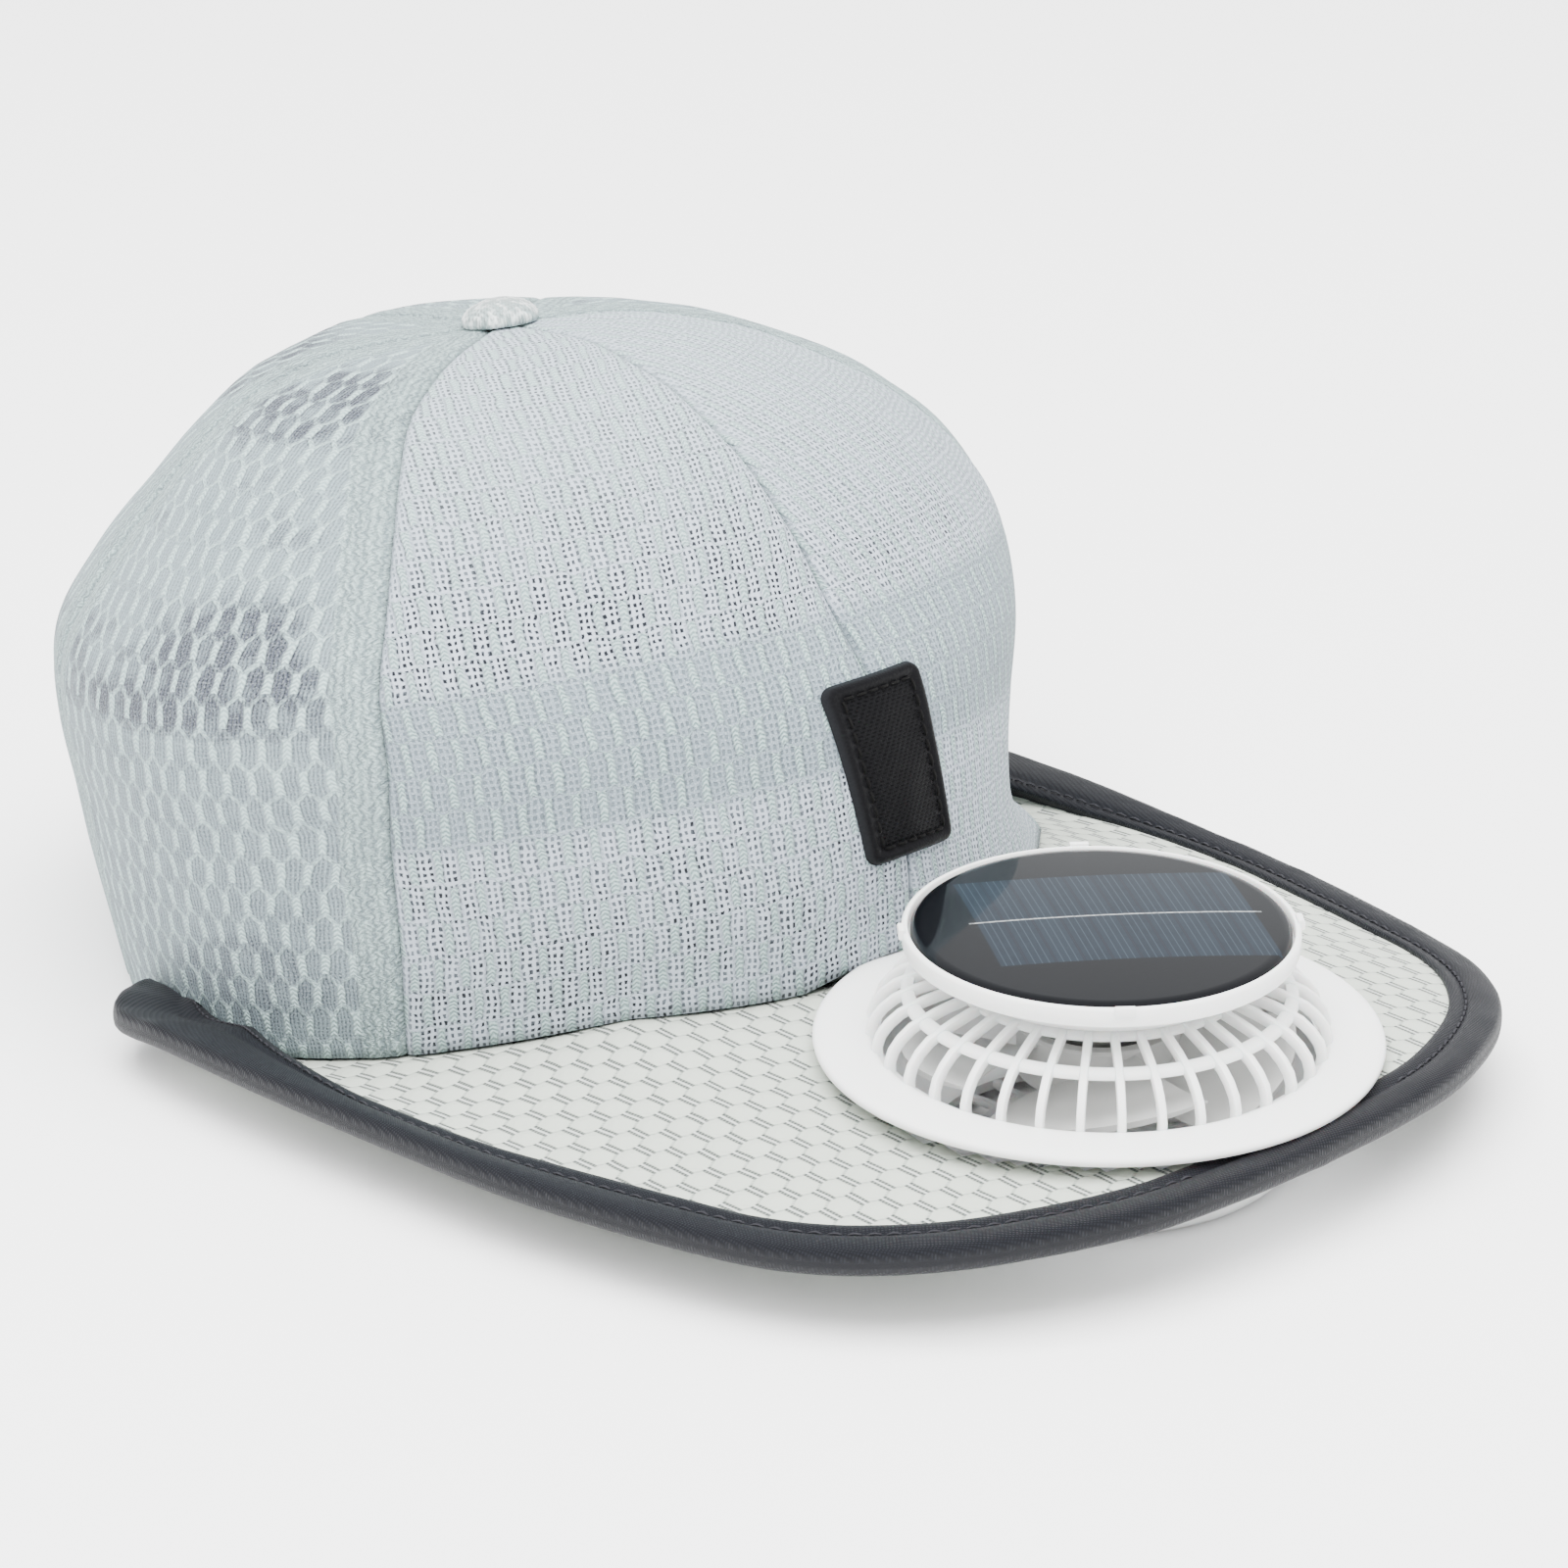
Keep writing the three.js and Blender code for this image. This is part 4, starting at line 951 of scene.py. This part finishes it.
def brim():
    rows = 44
    verts, uvs = [], []
    for i in range(rows + 1):
        for start, heel, edge in STATIONS:
            p = start.copy() if i == 0 else heel.lerp(edge, (i - 1) / (rows - 1))
            verts.append(p)
            uvs.append((p.x, p.y))
    for p in verts:
        r = math.hypot(p.x, p.y - FAN_Y)
        calm = min(1, max(0, (r - 52) / 25))
        p.z += 0.35 * calm * noise.noise(Vector((p.x / 26, p.y / 26, 0)))
    cols = len(STATIONS)
    faces = []
    for quad in grid_faces(rows + 1, cols):
        if all(math.hypot(verts[k].x, verts[k].y - FAN_Y) > FAN_OPENING for k in quad):
            faces.append(quad[::-1])
    obj = make("brim_mesh_sheet", verts, faces, MAT_BRIM, replaces=["brim"], uvs=uvs)
    modifier(obj, "SOLIDIFY", thickness=0.0020, offset=-1)


brim()


def binding():
    """Folded tape: a flat strip inside a stitch line, and a rolled outer edge."""
    verts, uvs = [], []
    n = len(STATIONS)
    length = 0.0
    profile_up = [
        (-TAPE_WIDTH, 0.35), (-8.3, 0.95), (-7.2, 1.12), (-6.1, 0.98), (-5.5, 0.7), (-5.0, 0.78),
        (-4.4, 1.25), (-3.2, 1.5), (-1.5, 1.6), (-0.2, 1.5), (0.8, 1.15), (1.3, 0.4), (1.45, -0.5),
    ]
    stitches = []
    for k, (start, heel, edge) in enumerate(STATIONS):
        before = STATIONS[max(k - 1, 0)][2]
        after = STATIONS[min(k + 1, n - 1)][2]
        step = (after - before)
        if k:
            length += (edge - before).length
        along = Vector((step.x, step.y, 0)).normalized()
        outward = Vector((along.y, -along.x, 0))
        lie = (edge - heel).normalized()
        reach = max(lie.dot(outward), 0.5)
        s = abs(2 * k / BRIM_N - 1)
        pucker = max(0, (s - 0.55) / 0.45) ** 1.5
        # at the rear corners the tape climbs over the crown's hem
        cover = min(1, max(0, (s - 0.53) / 0.13))
        cover = cover * cover * (3 - 2 * cover)
        over = heel + (heel - start).normalized() * 1.7 * cover
        over.z += 7.2 + 2.6 * max(0, (s - 0.8) / 0.2)
        ripple = 0.10 * noise.noise(Vector((length / 9, 1, 0)))
        ripple += 0.35 * pucker * noise.noise(Vector((length / 4.2, 5, 0)))
        ring = []
        for out, up in profile_up:
            bulge = 0.22 * noise.noise(Vector((length / 7, out / 3, 4))) * (1.0 + 2 * pucker)
            ring.append((out + 0.25 * ripple * (out > 0), up + (ripple + bulge) * (0.3 if out < -3 else 0.8)))
        ring += [(out, -BRIM_THICKNESS - up) for out, up in reversed(profile_up)]
        for out, up in ring:
            p = edge + Vector((0, 0, up))
            p = p + (lie * (out / reach) if out < 0 else outward * out)
            if out < 0 < up:
                p = p.lerp(edge.lerp(over, -out / TAPE_WIDTH) + Vector((0, 0, up * 0.8)), cover)
            elif out < 0:
                share = min(-out / TAPE_WIDTH, -out / (edge - heel).length)
                p = p.lerp(edge.lerp(heel, share) + Vector((0, 0, up)), cover)
            verts.append(p)
            uvs.append((length, out if up > -1 else out + 11))
        hold = edge - lie * (TAPE_STITCH_INSET / reach)
        stitches.append((hold.lerp(edge.lerp(over, 0.86), cover), length))
    m = len(profile_up) * 2
    faces = grid_faces(n, m, closed=True, flip=True)
    faces.append(tuple(range(m)))
    faces.append(tuple((n - 1) * m + j for j in range(m))[::-1])
    make("brim_binding_tape", verts, faces, MAT_TAPE, replaces=["brim_binding"], uvs=uvs)
    # stitches in the groove
    parts = []
    at = 2.0
    k = 0
    random.seed(7)
    while at < length - 3:
        path = []
        for t in (0, 0.4, 0.6, 1):
            want = at + TAPE_STITCH_LENGTH * t
            while k < n - 2 and stitches[k + 1][1] < want:
                k += 1
            e0, e1 = stitches[k], stitches[k + 1]
            w = (want - e0[1]) / max(e1[1] - e0[1], 1e-6)
            p = e0[0].lerp(e1[0], w)
            p.z += 0.86 + 0.28 * math.sin(math.pi * t) + random.uniform(-0.05, 0.05)
            path.append(p)
        if (path[0] - Vector((0, FAN_Y, path[0].z))).length > 52.5:
            parts.append(sweep(path, rounded(0.42, 0.34, 0.14, 2)))
        at += TAPE_STITCH_STEP
    v, f = join_parts(*parts)
    make("brim_binding_stitches", v, f, MAT_STITCH)


binding()


# Fan housing
def housing():
    flange = lathe([
        (38.9, -4.4), (40.5, -4.4), (40.6, -0.75), (50.2, -0.7), (50.65, -0.45), (50.8, 0.0), (50.75, 0.5),
        (50.3, 0.95), (49.3, 1.28), (47, 1.42), (44, 1.5), (42.2, 1.5), (41.2, 1.38), (40.6, 1.05),
        (40.2, 0.6), (38.9, 0.0),
    ], 144)
    hoop = lathe([
        (33.0, 8.1), (34.6, 7.9), (35.2, 8.3), (35.2, 8.9), (34.7, 9.5), (33.6, 9.9), (32.9, 9.7),
        (32.7, 8.9),
    ], 144)
    neck = lathe([
        (0.0, 10.9), (24.6, 10.9), (26.2, 11.3), (26.3, 12.0), (25.4, 12.75), (24.5, 12.9), (0.0, 12.9),
    ], 96)
    ribs = []
    path_rz = [(40.3, 0.2), (40.35, 2.2), (39.7, 4.3), (38.2, 6.3), (36.2, 8.0), (34.0, 9.1), (31.5, 10.1),
               (29.0, 10.9), (26.6, 11.6), (25.2, 12.0)]
    for k in range(GRILLE_RIBS):
        a = 2 * math.pi * k / GRILLE_RIBS
        direction = Vector((math.cos(a), math.sin(a), 0))
        path = [Vector((0, FAN_Y, FAN_Z + z)) + direction * r for r, z in path_rz]
        ups = [direction.lerp(Vector((0, 0, 1)), min(1, i / 6)) for i in range(len(path))]
        ribs.append(sweep(path, rounded(1.55, 2.0, 0.5, 2), ups=ups))
    v, f = join_parts(flange, hoop, neck, *ribs)
    make("fan_housing_moulding", v, f, MAT_WHITE, replaces=["fan_housing"])


housing()


def guard():
    top = -FAN_Z + BRIM_TOP - BRIM_THICKNESS - 1.3
    low = GUARD_LOW
    bowl = lathe([
        (29.5, low), (33.0, low), (34.6, low + 0.5), (36.4, low + 2.4), (41.2, top - 2.0), (48.6, top - 2.0),
        (49.0, top - 1.6), (49.0, top - 0.4), (48.6, top), (41.2, top), (39.0, top - 2.4), (34.7, low + 3.2),
        (32.2, low + 1.8), (29.5, low + 1.8),
    ], 144)
    boss = lathe([
        (0.0, low), (12.2, low), (12.4, low + 0.3), (12.4, low + 1.6), (12.2, low + 1.8), (0.0, low + 1.8),
    ], 64)
    ring = lathe([(20.4, low + 0.2), (22.0, low + 0.2), (22.0, low + 1.7), (20.4, low + 1.7)], 96)
    spokes = []
    for k in range(GUARD_SLOTS):
        a = 2 * math.pi * (k + 0.5) / GUARD_SLOTS
        direction = Vector((math.cos(a), math.sin(a), 0))
        path = [Vector((0, FAN_Y, FAN_Z + low + 0.95)) + direction * r for r in (11.8, 18, 24, 30)]
        spokes.append(sweep(path, rounded(1.7, 1.5, 0.4, 2)))
    v, f = join_parts(bowl, boss, ring, *spokes)
    make("fan_guard_moulding", v, f, MAT_GUARD, replaces=["fan_guard"])


guard()


def rotor():
    cup = lathe([
        (1.55, -6.5), (13.8, -6.5), (14.5, -6.0), (14.6, -5.4), (14.6, 3.1), (14.2, 3.5), (12.2, 3.5),
        (12.2, -4.1), (1.55, -4.1),
    ], 72)
    parts = [cup]
    for k in range(BLADE_COUNT):
        turn = 2 * math.pi * k / BLADE_COUNT
        up, down = [], []
        rows, cols = 14, 14
        for i in range(rows):
            share = i / (rows - 1)
            r = BLADE_ROOT + (BLADE_TIP - BLADE_ROOT) * share
            for j in range(cols):
                w = 2 * j / (cols - 1) - 1
                sweep_angle = math.radians(34) * w + 0.12 * share ** 2
                z = -1.5 + 4.4 * 0.92 * w * (1 - 0.15 * share)
                x, y = r * math.cos(turn + sweep_angle), r * math.sin(turn + sweep_angle)
                thick = 0.62 * (1 - 0.75 * abs(w) ** 3)
                up.append((x, y + FAN_Y, z + FAN_Z + thick))
                down.append((x, y + FAN_Y, z + FAN_Z - thick))
        parts.append((up + down, sheet_faces(rows, cols)))
    v, f = join_parts(*parts)
    make("fan_rotor_blades", v, f, MAT_ROTOR, body="rotor", replaces=["fan_rotor"])


rotor()


def dish():
    profile = [
        (0.0, 13.2), (25.6, 13.2), (26.6, 13.5), (29.8, 15.5), (32.4, 17.0), (34.2, 17.8), (35.0, 18.3),
        (35.2, 19.0), (35.2, 21.1), (35.0, 21.5), (34.6, 21.7), (34.2, 21.65), (34.0, 21.4), (34.0, 19.4),
        (31.4, 19.3), (27.0, 16.6), (25.0, 15.1), (0.0, 15.0),
    ]
    parts = [lathe(profile, 160)]
    for k in range(DISH_TABS):
        a = math.radians(DISH_TAB_TURN + 360 / DISH_TABS * k)
        out = Vector((math.cos(a), math.sin(a), 0))
        base = Vector((0, FAN_Y, FAN_Z + 21.25)) + out * 35.25
        side = Vector((-out.y, out.x, 0))
        path = [base + side * t for t in (-1.7, -0.6, 0.6, 1.7)]
        parts.append(sweep(path, rounded(1.3, 1.8, 0.35, 2)))
    v, f = join_parts(*parts)
    make("solar_dish_cup", v, f, MAT_WHITE, replaces=["solar_dish"])


dish()


def disc():
    low = DISC_LOW
    r = DISC_RADIUS
    profile = [(0.0, low), (r - 0.2, low), (r, low + 0.2), (r, low + 1.2), (r - 0.2, low + 1.6)]
    for t in (0.975, 0.94, 0.88, 0.8, 0.7, 0.58, 0.45, 0.3, 0.15):
        profile.append((r * t, low + 2.1 + 1.1 * (1 - t * t)))
    profile.append((0.0, low + 3.2))
    v, f = lathe(profile, 160)
    make("solar_disc_resin", v, f, MAT_SOLAR, replaces=["solar_disc"], uvs=[(x, y - FAN_Y) for x, y, z in v])


disc()

# The motor keeps its CAD form
motor = frame["nodes"]["fan_motor"]
motor.data.materials.clear()
motor.data.materials.append(MAT_MOTOR)

for obj in list(bpy.context.scene.objects):
    if obj.type == "MESH" and any(word in obj.name for word in ("moulding", "cup", "blades", "resin")):
        modifier(obj, "EDGE_SPLIT", split_angle=math.radians(40))

# Floor, light and camera
floor_mesh = bpy.data.meshes.new("floor")
floor_mesh.from_pydata([(-6, -6, 0), (6, -6, 0), (6, 6, 0), (-6, 6, 0)], [], [(0, 1, 2, 3)])
floor = bpy.data.objects.new("floor", floor_mesh)
bpy.context.scene.collection.objects.link(floor)
fm = Nodes("pale_floor")
fm.set(Base_Color=(0.93, 0.93, 0.93), Roughness=0.9)
floor_mesh.materials.append(fm.mat)

world = bpy.data.worlds.new("studio")
bpy.context.scene.world = world
world.use_nodes = True
world.node_tree.nodes["Background"].inputs[0].default_value = (1, 1, 1, 1)
world.node_tree.nodes["Background"].inputs[1].default_value = 1.55


def area(name, where, at, size, power):
    light = bpy.data.lights.new(name, "AREA")
    light.shape = "RECTANGLE"
    light.size, light.size_y = size
    light.energy = power
    obj = bpy.data.objects.new(name, light)
    obj.location = where
    obj.rotation_euler = (Vector(at) - Vector(where)).to_track_quat("-Z", "Y").to_euler()
    obj.visible_glossy = False
    bpy.context.scene.collection.objects.link(obj)


area("top", (-0.2, -0.3, 2.0), (0, 0, 0.05), (2.2, 2.2), 200)
area("key", (-1.4, -1.0, 1.2), (0, 0, 0.05), (1.0, 1.0), 26)
area("rim", (0.8, 1.6, 1.1), (0, 0, 0.05), (1.4, 0.9), 14)

# The photograph's camera: focal length and picture width in pixels, aim and distance in mm
FOCAL_PIXELS = 5480
PICTURE_PIXELS = 1600
AIM = (0, -47.93, 25.76)
DISTANCE = 1000
azimuth, elevation = math.radians(-42.5), math.radians(22.8)
level = math.cos(elevation)
back = Vector((math.sin(azimuth) * level, -math.cos(azimuth) * level, math.sin(elevation)))
right = Vector((math.cos(azimuth), math.sin(azimuth), 0))
up = back.cross(right)
lean = Matrix.Rotation(math.radians(REST_TILT), 3, "X")
axes = Matrix((lean @ right, lean @ up, lean @ back)).transposed()
eye = PLACE @ (Vector(AIM) + back * DISTANCE)
camera_data = bpy.data.cameras.new("camera")
camera_data.sensor_width = 36
camera_data.lens = 36 * FOCAL_PIXELS / PICTURE_PIXELS
camera_data.clip_start = 0.01
camera = bpy.data.objects.new("camera", camera_data)
camera.matrix_world = Matrix.Translation(eye / 1000) @ axes.to_4x4()
bpy.context.scene.collection.objects.link(camera)
bpy.context.scene.camera = camera
